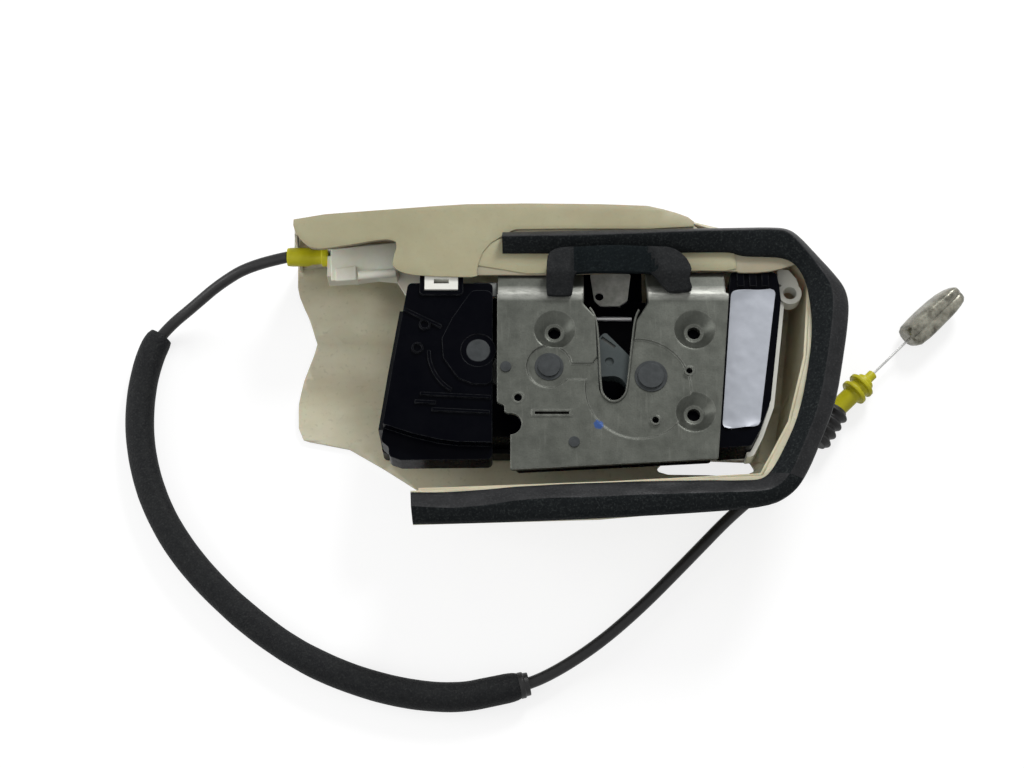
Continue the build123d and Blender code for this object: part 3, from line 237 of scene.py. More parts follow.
def finish(name, colour, worn, rough, roughSpread=0.06, metal=0.0, mottle=90, grain=1800,
           grainStrength=0.25, grainDepth=0.04, edge=0.25, **sockets):
    # A base finish: two tones in soft patches, uneven gloss, fine grain and softened edges
    material = bpy.data.materials.new(name)
    material.use_nodes = True
    tree = material.node_tree
    shader = tree.nodes["Principled BSDF"]
    shader.inputs["Metallic"].default_value = metal
    patches = linkTexture(tree, "ShaderNodeTexNoise", mottle, Detail=6, Roughness=0.65)
    tone = spread(tree, patches.outputs["Fac"], 0, 1, 0.35, 0.68)
    tree.links.new(mixColour(tree, tone, colour, worn), shader.inputs["Base Color"])
    gloss = linkTexture(tree, "ShaderNodeTexNoise", mottle * 3.1, Detail=4)
    tree.links.new(spread(tree, gloss.outputs["Fac"], rough - roughSpread, rough + roughSpread),
                   shader.inputs["Roughness"])
    grainNoise = linkTexture(tree, "ShaderNodeTexNoise", grain, Detail=3)
    rounded = tree.nodes.new("ShaderNodeBevel")
    rounded.samples = 4
    rounded.inputs["Radius"].default_value = edge * mm
    addBump(tree, shader, grainNoise.outputs["Fac"], grainStrength, grainDepth, rounded.outputs["Normal"])
    for socket, value in sockets.items():
        shader.inputs[socket.replace("_", " ")].default_value = value
    return material, tree, shader


def paintedEdgeHighlight(tree, base, highlightColour, radius, most=0.55):
    # Painted highlight where the surface turns: the edge takes a lighter colour where the rounded normal leaves the
    # true one
    rounded = tree.nodes.new("ShaderNodeBevel")
    rounded.samples = 6
    rounded.inputs["Radius"].default_value = radius * mm
    flat = tree.nodes.new("ShaderNodeNewGeometry")
    match = tree.nodes.new("ShaderNodeVectorMath")
    match.operation = "DOT_PRODUCT"
    tree.links.new(rounded.outputs["Normal"], match.inputs[0])
    tree.links.new(flat.outputs["Normal"], match.inputs[1])
    ragged = linkTexture(tree, "ShaderNodeTexNoise", 420, Detail=4)
    uneven = tree.nodes.new("ShaderNodeMath")
    uneven.operation = "MULTIPLY"
    tree.links.new(spread(tree, match.outputs["Value"], most, 0, 0.86, 0.985), uneven.inputs[0])
    tree.links.new(spread(tree, ragged.outputs["Fac"], 0.25, 1, 0.35, 0.6), uneven.inputs[1])
    return mixColour(tree, uneven.outputs[0], base, highlightColour)


def makeCasePlastic():
    # Moulded black, nearly without gloss; its ribs get a thin grey painted highlight
    material, tree, shader = finish("blackPlastic", (0.0007, 0.0009, 0.0022), (0.0018, 0.0020, 0.0034), 0.27,
                                    grain=2600, grainStrength=0.15, edge=0.4, Specular_IOR_Level=0.02)
    base = shader.inputs["Base Color"].links[0].from_socket
    # painted highlight: thin grey lines on the rib edges
    tree.links.new(paintedEdgeHighlight(tree, base, (0.055, 0.058, 0.062), 0.4, 0.7), shader.inputs["Base Color"])
    return material


blackPlastic = makeCasePlastic()
whitePlastic, _, _ = finish("whitePlastic", (0.80, 0.80, 0.74), (0.70, 0.70, 0.64), 0.42, mottle=40)
naturalPlastic, _, _ = finish("naturalPlastic", (0.84, 0.83, 0.73), (0.72, 0.70, 0.58), 0.4, mottle=40,
                              Subsurface_Weight=0.3, Subsurface_Scale=2 * mm)
jacketPlastic, _, _ = finish("jacketPlastic", (0.030, 0.040, 0.041), (0.046, 0.058, 0.058), 0.45, grain=1500,
                             Specular_IOR_Level=0.3)
gearPlastic, _, _ = finish("gearPlastic", (0.52, 0.50, 0.42), (0.46, 0.43, 0.35), 0.4)
bumperRubber, _, _ = finish("bumperRubber", (0.008, 0.008, 0.008), (0.015, 0.015, 0.014), 0.7,
                            Specular_IOR_Level=0.2)
toolSteel, _, _ = finish("toolSteel", (0.10, 0.105, 0.10), (0.07, 0.072, 0.068), 0.42, metal=0.8, mottle=160)
pinSteel, _, _ = finish("pinSteel", (0.046, 0.050, 0.052), (0.030, 0.033, 0.034), 0.5, metal=0.6, mottle=260,
                        Specular_IOR_Level=0.2)
brightSteel, _, _ = finish("brightSteel", (0.38, 0.38, 0.36), (0.28, 0.28, 0.265), 0.32, metal=0.9)
# painted light: the tongue sits deep in the shaded mouth, so its zinc is given a near-white, almost unmetallic colour
# to look lit
tonguePaintedLight, _, _ = finish("tonguePaintedLight", (0.86, 0.86, 0.80), (0.55, 0.56, 0.50), 0.5, metal=0.1, mottle=260)
guideSteel, _, _ = finish("guideSteel", (0.9, 0.9, 0.9), (0.8, 0.8, 0.8), 0.35, metal=0.3)
springSteel, _, _ = finish("springSteel", (0.4, 0.4, 0.4), (0.3, 0.3, 0.3), 0.35, metal=0.9)
motorCan, _, _ = finish("motorCan", (0.55, 0.55, 0.53), (0.46, 0.46, 0.44), 0.38, metal=0.9)
copperStrip, _, _ = finish("copperStrip", (0.72, 0.42, 0.26), (0.6, 0.33, 0.2), 0.35, metal=0.9)
tinBlades, _, _ = finish("tinBlades", (0.66, 0.66, 0.63), (0.55, 0.55, 0.52), 0.3, metal=0.9)
wireSteel, _, _ = finish("wireSteel", (0.55, 0.55, 0.54), (0.4, 0.4, 0.39), 0.3, metal=0.9, edge=0.05)
dullWire, _, _ = finish("dullWire", (0.5, 0.5, 0.44), (0.38, 0.38, 0.33), 0.45, metal=0.3, edge=0.05)
yellowPlastic, _, _ = finish("yellowPlastic", (0.54, 0.505, 0.009), (0.45, 0.415, 0.007), 0.42, mottle=120,
                             grain=1400, Specular_IOR_Level=0.3)
clipPlastic, _, _ = finish("clipPlastic", (0.34, 0.33, 0.27), (0.07, 0.067, 0.050), 0.25, metal=0.5, mottle=210,
                           Subsurface_Weight=0.1, Subsurface_Scale=2 * mm, edge=0.5)


# painted highlight along the bend of the flange: its place, its half width and its colour
bend = {"at": 38.4, "half": 3.6, "highlightColour": (0.42, 0.425, 0.39)}


def ridge(tree, place, middle, half):
    # 1 on a line across the piece, fading to 0 on both sides of it
    away = tree.nodes.new("ShaderNodeMath")
    away.operation = "SUBTRACT"
    away.inputs[1].default_value = middle * mm
    tree.links.new(place, away.inputs[0])
    size = tree.nodes.new("ShaderNodeMath")
    size.operation = "ABSOLUTE"
    tree.links.new(away.outputs[0], size.inputs[0])
    return spread(tree, size.outputs[0], 1, 0, 0, half * mm)


def makeZinc(name, colour, worn, dotAt=None):
    # Zinc plating: fine speckle, brushed streaks and a few dark stains, with painted highlights on the edges and along
    # the bend of the flange
    material, tree, shader = finish(name, colour, worn, 0.4, metal=0.65, mottle=110, grain=1700,
                                    grainStrength=0.6, grainDepth=0.07, edge=1.1, Specular_IOR_Level=0.4)
    base = shader.inputs["Base Color"].links[0].from_socket
    speck = linkTexture(tree, "ShaderNodeTexNoise", 1500, Detail=2)
    darker = mixColour(tree, spread(tree, speck.outputs["Fac"], 0, 0.4, 0.5, 0.75), base, (0.045, 0.047, 0.04))
    streak = linkTexture(tree, "ShaderNodeTexNoise", 60, stretch=(12, 1, 1), turn=24, Detail=5, Roughness=0.7)
    result = mixColour(tree, spread(tree, streak.outputs["Fac"], 0, 0.3, 0.56, 0.74), darker, (0.17, 0.175, 0.155))
    stain = linkTexture(tree, "ShaderNodeTexNoise", 38, Detail=8, Roughness=0.72)
    result = mixColour(tree, spread(tree, stain.outputs["Fac"], 0, 0.5, 0.62, 0.78), result, (0.05, 0.05, 0.042))
    # painted highlight on the edges of the plate
    result = paintedEdgeHighlight(tree, result, (0.26, 0.265, 0.24), 0.8)
    # painted highlight: a lighter band along the bend of the flange, broken up by noise
    coords = tree.nodes.new("ShaderNodeTexCoord")
    parts = tree.nodes.new("ShaderNodeSeparateXYZ")
    tree.links.new(coords.outputs["Object"], parts.inputs[0])
    bendHighlightNoise = linkTexture(tree, "ShaderNodeTexNoise", 240, stretch=(0.7, 2, 1), Detail=5, Roughness=0.7)
    bendHighlight = tree.nodes.new("ShaderNodeMath")
    bendHighlight.operation = "MULTIPLY"
    tree.links.new(spread(tree, bendHighlightNoise.outputs["Fac"], 0.45, 1.0, 0.35, 0.6), bendHighlight.inputs[0])
    tree.links.new(ridge(tree, parts.outputs["Y"], bend["at"], bend["half"]), bendHighlight.inputs[1])
    result = mixColour(tree, bendHighlight.outputs[0], result, bend["highlightColour"])
    if dotAt is not None:
        result = paintDot(tree, result, dotAt)
    tree.links.new(result, shader.inputs["Base Color"])
    return material


def makeCoverFinish():
    # Rear cover: white where the hook is, black under the long side of the case
    material, tree, shader = finish("coverPlastic", (0.80, 0.80, 0.74), (0.70, 0.70, 0.64), 0.42, mottle=40)
    base = shader.inputs["Base Color"].links[0].from_socket
    coords = tree.nodes.new("ShaderNodeTexCoord")
    parts = tree.nodes.new("ShaderNodeSeparateXYZ")
    tree.links.new(coords.outputs["Object"], parts.inputs[0])
    side = spread(tree, parts.outputs["X"], 1, 0, 30 * mm, 30.5 * mm)
    tree.links.new(mixColour(tree, side, base, (0.0018, 0.0020, 0.0030)), shader.inputs["Base Color"])
    shader.inputs["Specular IOR Level"].default_value = 0.12
    return material


def paintDot(tree, base, place):
    coords = tree.nodes.new("ShaderNodeTexCoord")
    away = tree.nodes.new("ShaderNodeVectorMath")
    away.operation = "DISTANCE"
    away.inputs[1].default_value = atMm(*place)
    tree.links.new(coords.outputs["Object"], away.inputs[0])
    ragged = linkTexture(tree, "ShaderNodeTexNoise", 900, Detail=4)
    total = tree.nodes.new("ShaderNodeMath")
    total.operation = "MULTIPLY_ADD"
    total.inputs[1].default_value = 1.6 * mm
    tree.links.new(ragged.outputs["Fac"], total.inputs[0])
    tree.links.new(away.outputs["Value"], total.inputs[2])
    return mixColour(tree, spread(tree, total.outputs[0], 0.8, 0, 2.3 * mm, 2.9 * mm), base, (0.012, 0.055, 0.21))


zincPlate = makeZinc("zincPlate", (0.094, 0.099, 0.086), (0.058, 0.062, 0.053), (-5.7, -15.4, 0))
# painted highlight: the lip is given a lighter copy of the plate's zinc
lipZincPaintedHighlight = makeZinc("lipZincPaintedHighlight", (0.11, 0.114, 0.100), (0.078, 0.082, 0.072))
zincBack = makeZinc("zincBack", (0.094, 0.099, 0.086), (0.058, 0.062, 0.053))

coverPlastic = makeCoverFinish()

carriedOver = {
    "faceplate": zincPlate, "plate_rivets": pinSteel, "catch_core": toolSteel, "catch_jacket": jacketPlastic,
    "pawl": toolSteel, "pawl_stud": pinSteel, "catch_spring": springSteel, "pawl_spring": springSteel,
    "latch_body": blackPlastic, "slot_bumper": bumperRubber, "catch_bumper": bumperRubber,
    "back_plate": zincBack, "release_lever": toolSteel, "lever_pin": pinSteel, "inside_lever": toolSteel,
    "inside_lever_pin": pinSteel, "latch_wire": dullWire, "release_gear": gearPlastic, "gear_pin": pinSteel,
    "motor": motorCan, "motor_pinion": brightSteel, "front_case": blackPlastic, "rear_cover": coverPlastic,
    "case_screws": zincBack, "harness_plug": whitePlastic, "plug_blades": tinBlades,
    "ajar_switch": blackPlastic, "lead_frame": copperStrip, "striker_tongue": tonguePaintedLight,
    "guide_bar": guideSteel, "cable_tray": naturalPlastic, "catch_pin": pinSteel, "pawl_pin": pinSteel,
}


def dressNodes():
    for name, material in carriedOver.items():
        node = nodes[name]
        node.data.materials.clear()
        node.data.materials.append(material)


dressNodes()
print("finishes ready")


# Shapes drawn as rows of points

def ringGrid(name, rings, closed=True, capped=True, slotOf=None):
    # A grid whose rows are laid on the rings, sewn along its seam and closed at its ends
    rows = [list(ring) + ([ring[0]] if closed else []) for ring in rings]
    bpy.ops.object.select_all(action="DESELECT")
    bpy.ops.mesh.primitive_grid_add(x_subdivisions=len(rows[0]) - 1, y_subdivisions=len(rows) - 1, size=1)
    obj = bpy.context.object
    obj.name = name
    places = [place for row in rows for place in row]
    for vertex, place in zip(obj.data.vertices, places):
        vertex.co = place
    if slotOf is not None:
        for index, face in enumerate(obj.data.polygons):
            face.material_index = slotOf(*divmod(index, len(rows[0]) - 1))
    editMode("SELECT")
    bpy.ops.mesh.remove_doubles(threshold=0.001 * mm)
    if capped:
        bpy.ops.mesh.select_all(action="DESELECT")
        bpy.ops.mesh.select_non_manifold(extend=False)
        bpy.ops.mesh.edge_face_add() if not closed else bpy.ops.mesh.fill_holes(sides=0)
    bpy.ops.mesh.select_all(action="SELECT")
    bpy.ops.mesh.normals_make_consistent(inside=False)
    objectMode()
    return obj


def softened(points, rounds=2, closed=False):
    # Cuts the corners of a line of points, twice by default
    for _ in range(rounds):
        pairs = list(zip(points, points[1:] + points[:1])) if closed else list(zip(points, points[1:]))
        cut = []
        for a, b in pairs:
            cut += [a * 0.75 + b * 0.25, a * 0.25 + b * 0.75]
        points = cut if closed else [points[0]] + cut[1:-1] + [points[-1]]
    return points


def evenly(points, count):
    # The same line with its points an equal way apart
    marks = [0.0]
    for a, b in zip(points, points[1:]):
        marks.append(marks[-1] + (b - a).length)
    line = []
    index = 0
    for step in range(count):
        along = marks[-1] * step / (count - 1)
        while index < len(points) - 2 and marks[index + 1] < along:
            index += 1
        share = (along - marks[index]) / max(marks[index + 1] - marks[index], 1e-9)
        line.append(points[index].lerp(points[index + 1], share))
    return line


def crossFrames(line):
    # Two directions across the line at each point, carried along without twist
    frames = []
    side = None
    for index, point in enumerate(line):
        ahead = (line[min(index + 1, len(line) - 1)] - line[max(index - 1, 0)]).normalized()
        if side is None:
            side = ahead.cross(Vector((0, 0, 1))).normalized()
        side = (side - ahead * side.dot(ahead)).normalized()
        frames.append((side, ahead.cross(side).normalized()))
    return frames


def tubeRings(line, radii, around=24):
    rings = []
    for point, frameAt, radius in zip(line, crossFrames(line), radii):
        side, up = frameAt
        ring = []
        for step in range(around):
            turn = 2 * math.pi * step / around
            reach = radius(turn) if callable(radius) else radius
            ring.append(point + (side * math.cos(turn) + up * math.sin(turn)) * reach)
        rings.append(ring)
    return rings


# Release cable

conduit = {
    "radius": 2.3,
    "route": [(-128.5, 62.1, -20.0), (-143.0, 60.2, -22.9), (-156.8, 54.6, -29.8), (-168.2, 47.4, -36.8),
              (-177.8, 40.4, -40.2), (-184.2, 31.2, -40.2), (-187.9, 11.4, -40.2), (-186.8, -11.0, -40.2),
              (-179.4, -35.0, -40.2), (-165.2, -57.5, -40.2), (-143.0, -79.5, -40.2), (-117.5, -97.4, -40.2),
              (-88.0, -108.6, -40.2), (-61.0, -112.2, -40.2), (-42.5, -108.4, -40.2), (-28.5, -105.4, -40.2),
              (-8.0, -93.0, -40.2), (10.5, -77.4, -40.2), (30.5, -57.2, -40.2), (50.5, -36.6, -40.2),
              (72.5, -20.2, -40.2), (85.6, -4.6, -40.2), (92.2, 5.2, -40.2)],
}


def makeConduit():
    bpy.ops.object.select_all(action="DESELECT")
    bpy.ops.curve.primitive_nurbs_path_add()
    curve = bpy.context.object
    curve.name = "conduit"
    spline = curve.data.splines[0]
    spline.points.add(len(conduit["route"]) - len(spline.points))
    for point, place in zip(spline.points, conduit["route"]):
        point.co = (*atMm(*place), 1)
    spline.use_endpoint_u = True
    spline.order_u = 3
    curve.data.dimensions = "3D"
    curve.data.resolution_u = 16
    flat = bpy.data.meshes.new_from_object(curve)
    line = [vertex.co.copy() for vertex in flat.vertices]
    bpy.data.meshes.remove(flat)
    curve.data.bevel_depth = conduit["radius"] * mm
    curve.data.bevel_resolution = 6
    curve.data.use_fill_caps = True
    return curve, line


def lineLength(line):
    return sum((b - a).length for a, b in zip(line, line[1:]))


def stretchOf(line, start, end):
    # The part of the line between its nearest points to two places
    first = min(range(len(line)), key=lambda index: (line[index] - start).length)
    last = min(range(len(line)), key=lambda index: (line[index] - end).length)
    return line[first:last + 1]


sleeve = {"radius": 5.7, "bore": 2.45, "start": (-181.0, 35.8, -40.2), "end": (-35.5, -106.9, -40.2),
          "steps": 150, "around": 36, "sag": 0.18}
band = {"radius": 4.7, "length": 3.6, "lead": 0.3}


def makeSleeve(line):
    centre = evenly(stretchOf(line, atMm(*sleeve["start"]), atMm(*sleeve["end"])), sleeve["steps"])
    radii = []
    for index, point in enumerate(centre):
        near = min(index, len(centre) - 1 - index)
        shrink = (0.9, 0.35, 0.12)[near] if near < 3 else 0.0
        wave = noise.noise(point * 38) * sleeve["sag"] + noise.noise(point * 140) * 0.07
        radii.append((sleeve["radius"] - shrink - abs(wave)) * mm)
    outer = tubeRings(centre, radii, sleeve["around"])
    inner = tubeRings(centre, [sleeve["bore"] * mm] * len(centre), sleeve["around"])
    obj = ringGrid("foamSleeve", outer + inner[::-1] + [outer[0]], capped=False)
    smooth(obj, 50)
    return obj, centre


curveObj, cableLine = makeConduit()
print("conduit length", round(lineLength(cableLine), 4))
sleeveObj, sleeveLine = makeSleeve(cableLine)


def spun(name, origin, direction, stations, around=40):
    # A turned piece: rings of the given (along, radius) stations about a line
    start = atMm(*origin)
    ahead = Vector(direction).normalized()
    rings = []
    side = ahead.cross(Vector((0, 0, 1))).normalized()
    up = ahead.cross(side).normalized()
    for along, radius in stations:
        centre = start + ahead * along * mm
        rings.append([centre + (side * math.cos(turn) + up * math.sin(turn)) * radius * mm
                      for turn in (2 * math.pi * step / around for step in range(around))])
    return ringGrid(name, rings)


def softenEdges(obj, width, segments=3, degrees=35):
    bevel = obj.modifiers.new("softEdges", "BEVEL")
    bevel.width = width * mm
    bevel.segments = segments
    bevel.limit_method = "ANGLE"
    bevel.angle_limit = math.radians(degrees)
    applyAll(obj)
    smooth(obj, 30)


def makeBand(line):
    # Step at the end of the sleeve
    end = line[-1] / mm
    ahead = line[-1] - line[-3]
    start, length, radius = band["lead"], band["length"], band["radius"]
    stations = [(start - 0.6, sleeve["bore"]), (start - 0.6, radius + 0.35), (start + 1.3, radius + 0.3),
                (start + 1.5, radius - 0.2), (length, radius - 0.3), (length, sleeve["bore"])]
    obj = spun("sleeveBand", end, ahead, stations)
    softenEdges(obj, 0.3)
    return obj


boot = {"ribs": 4, "pitch": 4.2, "neck": 4.2, "rib": 5.7, "gap": 0.9,
        "from": (85.6, -4.6, -40.2), "to": (92.2, 5.2, -40.2)}


def makeBoot():
    end = Vector(boot["to"])
    ahead = (end - Vector(boot["from"])).normalized()
    length = boot["ribs"] * boot["pitch"]
    origin = end - ahead * (length + boot["gap"])
    stations = [(0, boot["neck"] * 0.62), (0, boot["neck"])]
    for rib in range(boot["ribs"]):
        for share in range(1, 12):
            swell = max(0.0, math.sin(math.pi * share / 12)) ** 2.2
            stations.append(((rib + share / 12) * boot["pitch"], boot["neck"] + (boot["rib"] - boot["neck"]) * swell))
    stations += [(length, boot["neck"]), (length, boot["neck"] * 0.62)]
    obj = spun("bellowsBoot", origin, ahead, stations, around=36)
    smooth(obj, 50)
    return obj


handleEnd = {"start": (92.2, 5.2, -40.2), "direction": 44.0, "lead": -3.0, "body": 3.7, "flange": 5.6,
             "flanges": (8.6, 12.8), "flangeWidth": 1.8, "tip": 2.0}


def handleAxis():
    turn = math.radians(handleEnd["direction"])
    return Vector((math.cos(turn), math.sin(turn), 0))


def handlePoint(along):
    return Vector(handleEnd["start"]) + handleAxis() * along


def makeHandleFitting():
    body, flange, wide = handleEnd["body"], handleEnd["flange"], handleEnd["flangeWidth"]
    stations = [(handleEnd["lead"], 2.5), (handleEnd["lead"], body), (7.6, body), (8.3, body + 0.4)]
    for place in handleEnd["flanges"]:
        stations += [(place, body + 0.7), (place, flange), (place + wide, flange), (place + wide, body + 0.2)]
    stations += [(16.6, body), (17.5, handleEnd["tip"]), (20.8, handleEnd["tip"]), (20.8, 0.7)]
    obj = spun("handleFitting", handleEnd["start"], handleAxis(), stations)
    softenEdges(obj, 0.45, 4)
    return obj


latchEnd = {"start": (-128.5, 62.1, -20.0), "length": 16.5}


def makeLatchFitting():
    stations = [(0, 2.4), (0, 3.6), (2.0, 3.8), (8.5, 3.75), (10.2, 3.1), (13.9, 2.9), (13.9, 3.8),
                (16.45, 3.8), (16.45, 1.1)]
    obj = spun("latchFitting", latchEnd["start"], (1, 0, 0), stations)
    softenEdges(obj, 0.4, 4)
    return obj


strand = {"radius": 0.5, "from": 4.0, "to": 51.2, "twist": 2.4, "rings": 260, "around": 30}


def makeStrand():
    # Seven-wire strand: a lobed section that turns along the wire
    rings = []
    side = handleAxis().cross(Vector((0, 0, 1))).normalized()
    up = Vector((0, 0, 1))
    for step in range(strand["rings"]):
        along = strand["from"] + (strand["to"] - strand["from"]) * step / (strand["rings"] - 1)
        centre = handlePoint(along) * mm
        ring = []
        for index in range(strand["around"]):
            turn = 2 * math.pi * index / strand["around"]
            reach = strand["radius"] * (0.9 + 0.1 * abs(math.cos(3 * (turn - along * strand["twist"] / 2))))
            ring.append(centre + (side * math.cos(turn) + up * math.sin(turn)) * reach * mm)
        rings.append(ring)
    obj = ringGrid("innerStrand", rings)
    smooth(obj, 60)
    return obj


# Clip pressed on the wire: a folded block with a seam along its top
clip = {"roll": -26.0, "level": 1.3, "around": 56, "seam": 0.9, "seamWidth": 0.55, "stations": [
    (42.0, 0.6, -1.4, 0.6), (42.0, 3.2, -5.0, 2.8), (42.5, 4.2, -5.6, 3.9), (44.0, 5.0, -5.9, 4.8),
    (48.0, 5.3, -6.1, 5.2), (54.0, 5.4, -6.1, 5.3), (60.0, 5.2, -5.9, 5.4), (64.5, 4.9, -5.2, 5.4),
    (67.5, 4.4, -3.9, 5.2), (69.6, 3.8, -2.2, 4.7), (70.8, 3.0, -0.6, 3.9), (71.3, 1.6, 0.8, 3.0),
    (71.3, 0.3, 1.6, 2.2)]}


def makeClip():
    up = Vector((0, 0, 1))
    side = handleAxis().cross(up).normalized()
    roll = math.radians(clip["roll"])
    rolledSide = side * math.cos(roll) + up * math.sin(roll)
    rolledUp = up * math.cos(roll) - side * math.sin(roll)
    stations = clip["stations"]
    fine = [stations[0]]
    for a, b in zip(stations, stations[1:]):
        fine += [tuple(p + (q - p) * step / 4 for p, q in zip(a, b)) for step in range(1, 5)]
    rings = []
    for along, half, low, high in fine:
        centre = handlePoint(along) + up * clip["level"]
        ring = []
        for step in range(clip["around"]):
            turn = 2 * math.pi * step / clip["around"]
            across = half * math.copysign(abs(math.cos(turn)) ** 0.55, math.cos(turn))
            rise = math.copysign(abs(math.sin(turn)) ** 0.55, math.sin(turn))
            height = (low + high) / 2 + rise * (high - low) / 2
            pinch = 0.5 * noise.noise(Vector((along * 0.22, across * 0.3, height * 0.2)))
            if rise > 0.6:
                height -= clip["seam"] * math.exp(-(across / clip["seamWidth"]) ** 2) * min(1.0, half / 3)
            place = centre + rolledSide * across * (1 + 0.06 * pinch) + rolledUp * (height + 0.4 * pinch)
            ring.append(place * mm)
        rings.append(ring)
    obj = ringGrid("wireClip", rings)
    smooth(obj, 50)
    return obj


# Sticker: blank, silvery, with curled edges
sticker = {"left": ((46.8, 40.8), (41.2, -16.0)), "right": ((64.2, 41.2), (55.4, -15.2)), "level": -3.86,
           "corner": 2.2, "across": 44, "along": 120, "wrinkle": 0.16, "curl": 0.9}


def makeSticker():
    (leftTop, leftLow), (rightTop, rightLow) = sticker["left"], sticker["right"]
    rings = []
    for row in range(sticker["along"] + 1):
        v = row / sticker["along"]
        near = min(v, 1 - v) * 56 / sticker["corner"]
        inset = sticker["corner"] * (1 - math.sqrt(max(0.0, 1 - (1 - min(near, 1)) ** 2)))
        left = Vector(leftTop).lerp(Vector(leftLow), v)
        right = Vector(rightTop).lerp(Vector(rightLow), v)
        left.x += inset
        right.x -= inset
        ring = []
        for column in range(sticker["across"] + 1):
            u = column / sticker["across"]
            place = left.lerp(right, u)
            crease = noise.noise(Vector((place.x * 0.09, place.y * 0.16, 3.1)))
            crease += 0.5 * noise.noise(Vector((place.x * 0.3, place.y * 0.34, 7.7)))
            edge = max(0.0, 1 - min(v, 1 - v) * 12) ** 2 * (0.6 + 0.4 * math.sin(u * 7 + v * 3))
            lift = sticker["wrinkle"] * (0.6 + crease) + sticker["curl"] * edge
            ring.append(atMm(place.x, place.y, sticker["level"] + max(lift, 0.0)))
        rings.append(ring)
    obj = ringGrid("sticker", rings, closed=False, capped=False)
    thick = obj.modifiers.new("paper", "SOLIDIFY")
    thick.thickness = 0.12 * mm
    thick.offset = 0
    applyAll(obj)
    smooth(obj, 60)
    return obj


# Foam seal on the rim: a strip with two facets that meet in a ridge
# Each station has the outer edge, the ridge and the inner edge
rim = {"low": -2.0, "top": 4.4, "count": 460, "turnsAt": 0.6, "stations": [
    ((-42.2, 63.5), (-42.4, 60.3), (-42.2, 55.5)), ((-4.2, 64.3), (-4.3, 60.7), (-4.2, 55.6)),
    ((30.9, 65.0), (30.8, 62.4), (31.0, 55.9)), ((47.5, 65.3), (47.5, 62.8), (47.0, 56.2)),
    ((52.0, 65.4), (52.0, 62.9), (51.0, 54.4)), ((63.0, 65.6), (62.0, 63.3), (61.5, 54.2)),
    ((69.4, 65.0), (67.8, 62.8), (67.0, 53.8)), ((73.8, 61.8), (71.4, 59.8), (71.0, 52.0)),
    ((80.5, 53.5), (77.5, 51.8), (73.6, 48.8)), ((86.6, 45.8), (82.0, 44.6), (75.6, 44.0)),
    ((90.4, 40.0), (84.9, 39.6), (76.5, 38.6)), ((91.6, 33.5), (85.1, 33.2), (77.0, 32.8)),
    ((90.6, 25.0), (84.2, 25.0), (77.2, 24.6)), ((88.4, 13.0), (82.0, 12.6), (75.6, 12.0)),
    ((84.2, -7.2), (77.6, -8.6), (70.6, -10.4)), ((77.6, -22.6), (70.8, -24.2), (63.4, -25.6)),
    ((71.6, -35.6), (66.2, -35.0), (58.4, -34.0)), ((66.0, -42.6), (61.5, -40.6), (55.0, -37.0)),
    ((57.0, -47.4), (54.8, -43.6), (50.0, -37.6)), ((31.3, -49.6), (30.4, -43.8), (30.0, -37.4)),
    ((-6.1, -51.8), (-6.0, -45.4), (-6.0, -38.4)), ((-34.0, -53.0), (-34.6, -46.4), (-35.0, -39.8)),
    ((-52.0, -53.6), (-52.0, -49.4), (-53.0, -41.4)), ((-64.0, -53.9), (-64.0, -50.0), (-64.4, -42.2)),
    ((-75.3, -54.0), (-75.8, -49.2), (-76.3, -42.2))]}


def atStations(stations, count):
    # The edges and the ridge at equal steps along the ridge
    lines = [softened([atMm(*station[side], 0) for station in stations]) for side in range(3)]
    marks = [0.0]
    for a, b in zip(lines[1], lines[1][1:]):
        marks.append(marks[-1] + (b - a).length)
    rows = []
    index = 0
    for step in range(count):
        along = marks[-1] * step / (count - 1)
        while index < len(marks) - 2 and marks[index + 1] < along:
            index += 1
        share = (along - marks[index]) / (marks[index + 1] - marks[index])
        rows.append([line[index].lerp(line[index + 1], share) for line in lines])
    return rows


rimSection = [  # share of the way from edge to ridge, height above the flange
    [(0.0, 0.0), (0.0, 2.2), (0.02, 3.0), (0.10, 3.7), (0.35, 4.6), (0.62, 5.5), (0.86, 6.15), (0.96, 6.36)],
    [(0.96, 6.36), (0.86, 6.1), (0.68, 5.4), (0.46, 4.4), (0.24, 3.4), (0.08, 2.7), (0.01, 2.1), (0.0, 0.0)]]


def makeRimSeal():
    rows = atStations(rim["stations"], rim["count"])
    rings = []
    for index, (outer, ridge, inner) in enumerate(rows):
        share = index / (len(rows) - 1)
        slack = min(1.0, max(0.0, (share - 0.55) / 0.1))  # the loose skin of the lower run
        ring = []
        for side, edge in enumerate((outer, inner)):
            for across, height in rimSection[side]:
                place = edge.lerp(ridge, across)
                soft = min(1.0, height / 3)
                ripple = noise.noise(Vector((place.x * 26, place.y * 110, 2.0)))
                ripple += 0.5 * noise.noise(Vector((place.x * 75, place.y * 240, 5.0)))
                dent = 0.14 * noise.noise(place * 120) + 0.3 * noise.noise(place * 22)
                lift = dent + slack * side * ripple * 1.3
                ring.append(place + atMm(0, 0, rim["low"] + height + soft * min(lift, 0.4)))
        rings.append(ring)
    columns = len(rings[0])
    half = len(rimSection[0])

    # slot 1, the skin, goes on the facet that faces the key lamp; its lighter colour is partly real skin, partly
    # painted light
    def facet(row, column):
        lower = row > rim["turnsAt"] * rim["count"]
        onInner = half - 1 < column < columns - 1
        return 1 if onInner == lower and 1 < column < columns - 2 else 0

    obj = ringGrid("rimSeal", rings, slotOf=facet)
    smooth(obj, 28)
    return obj


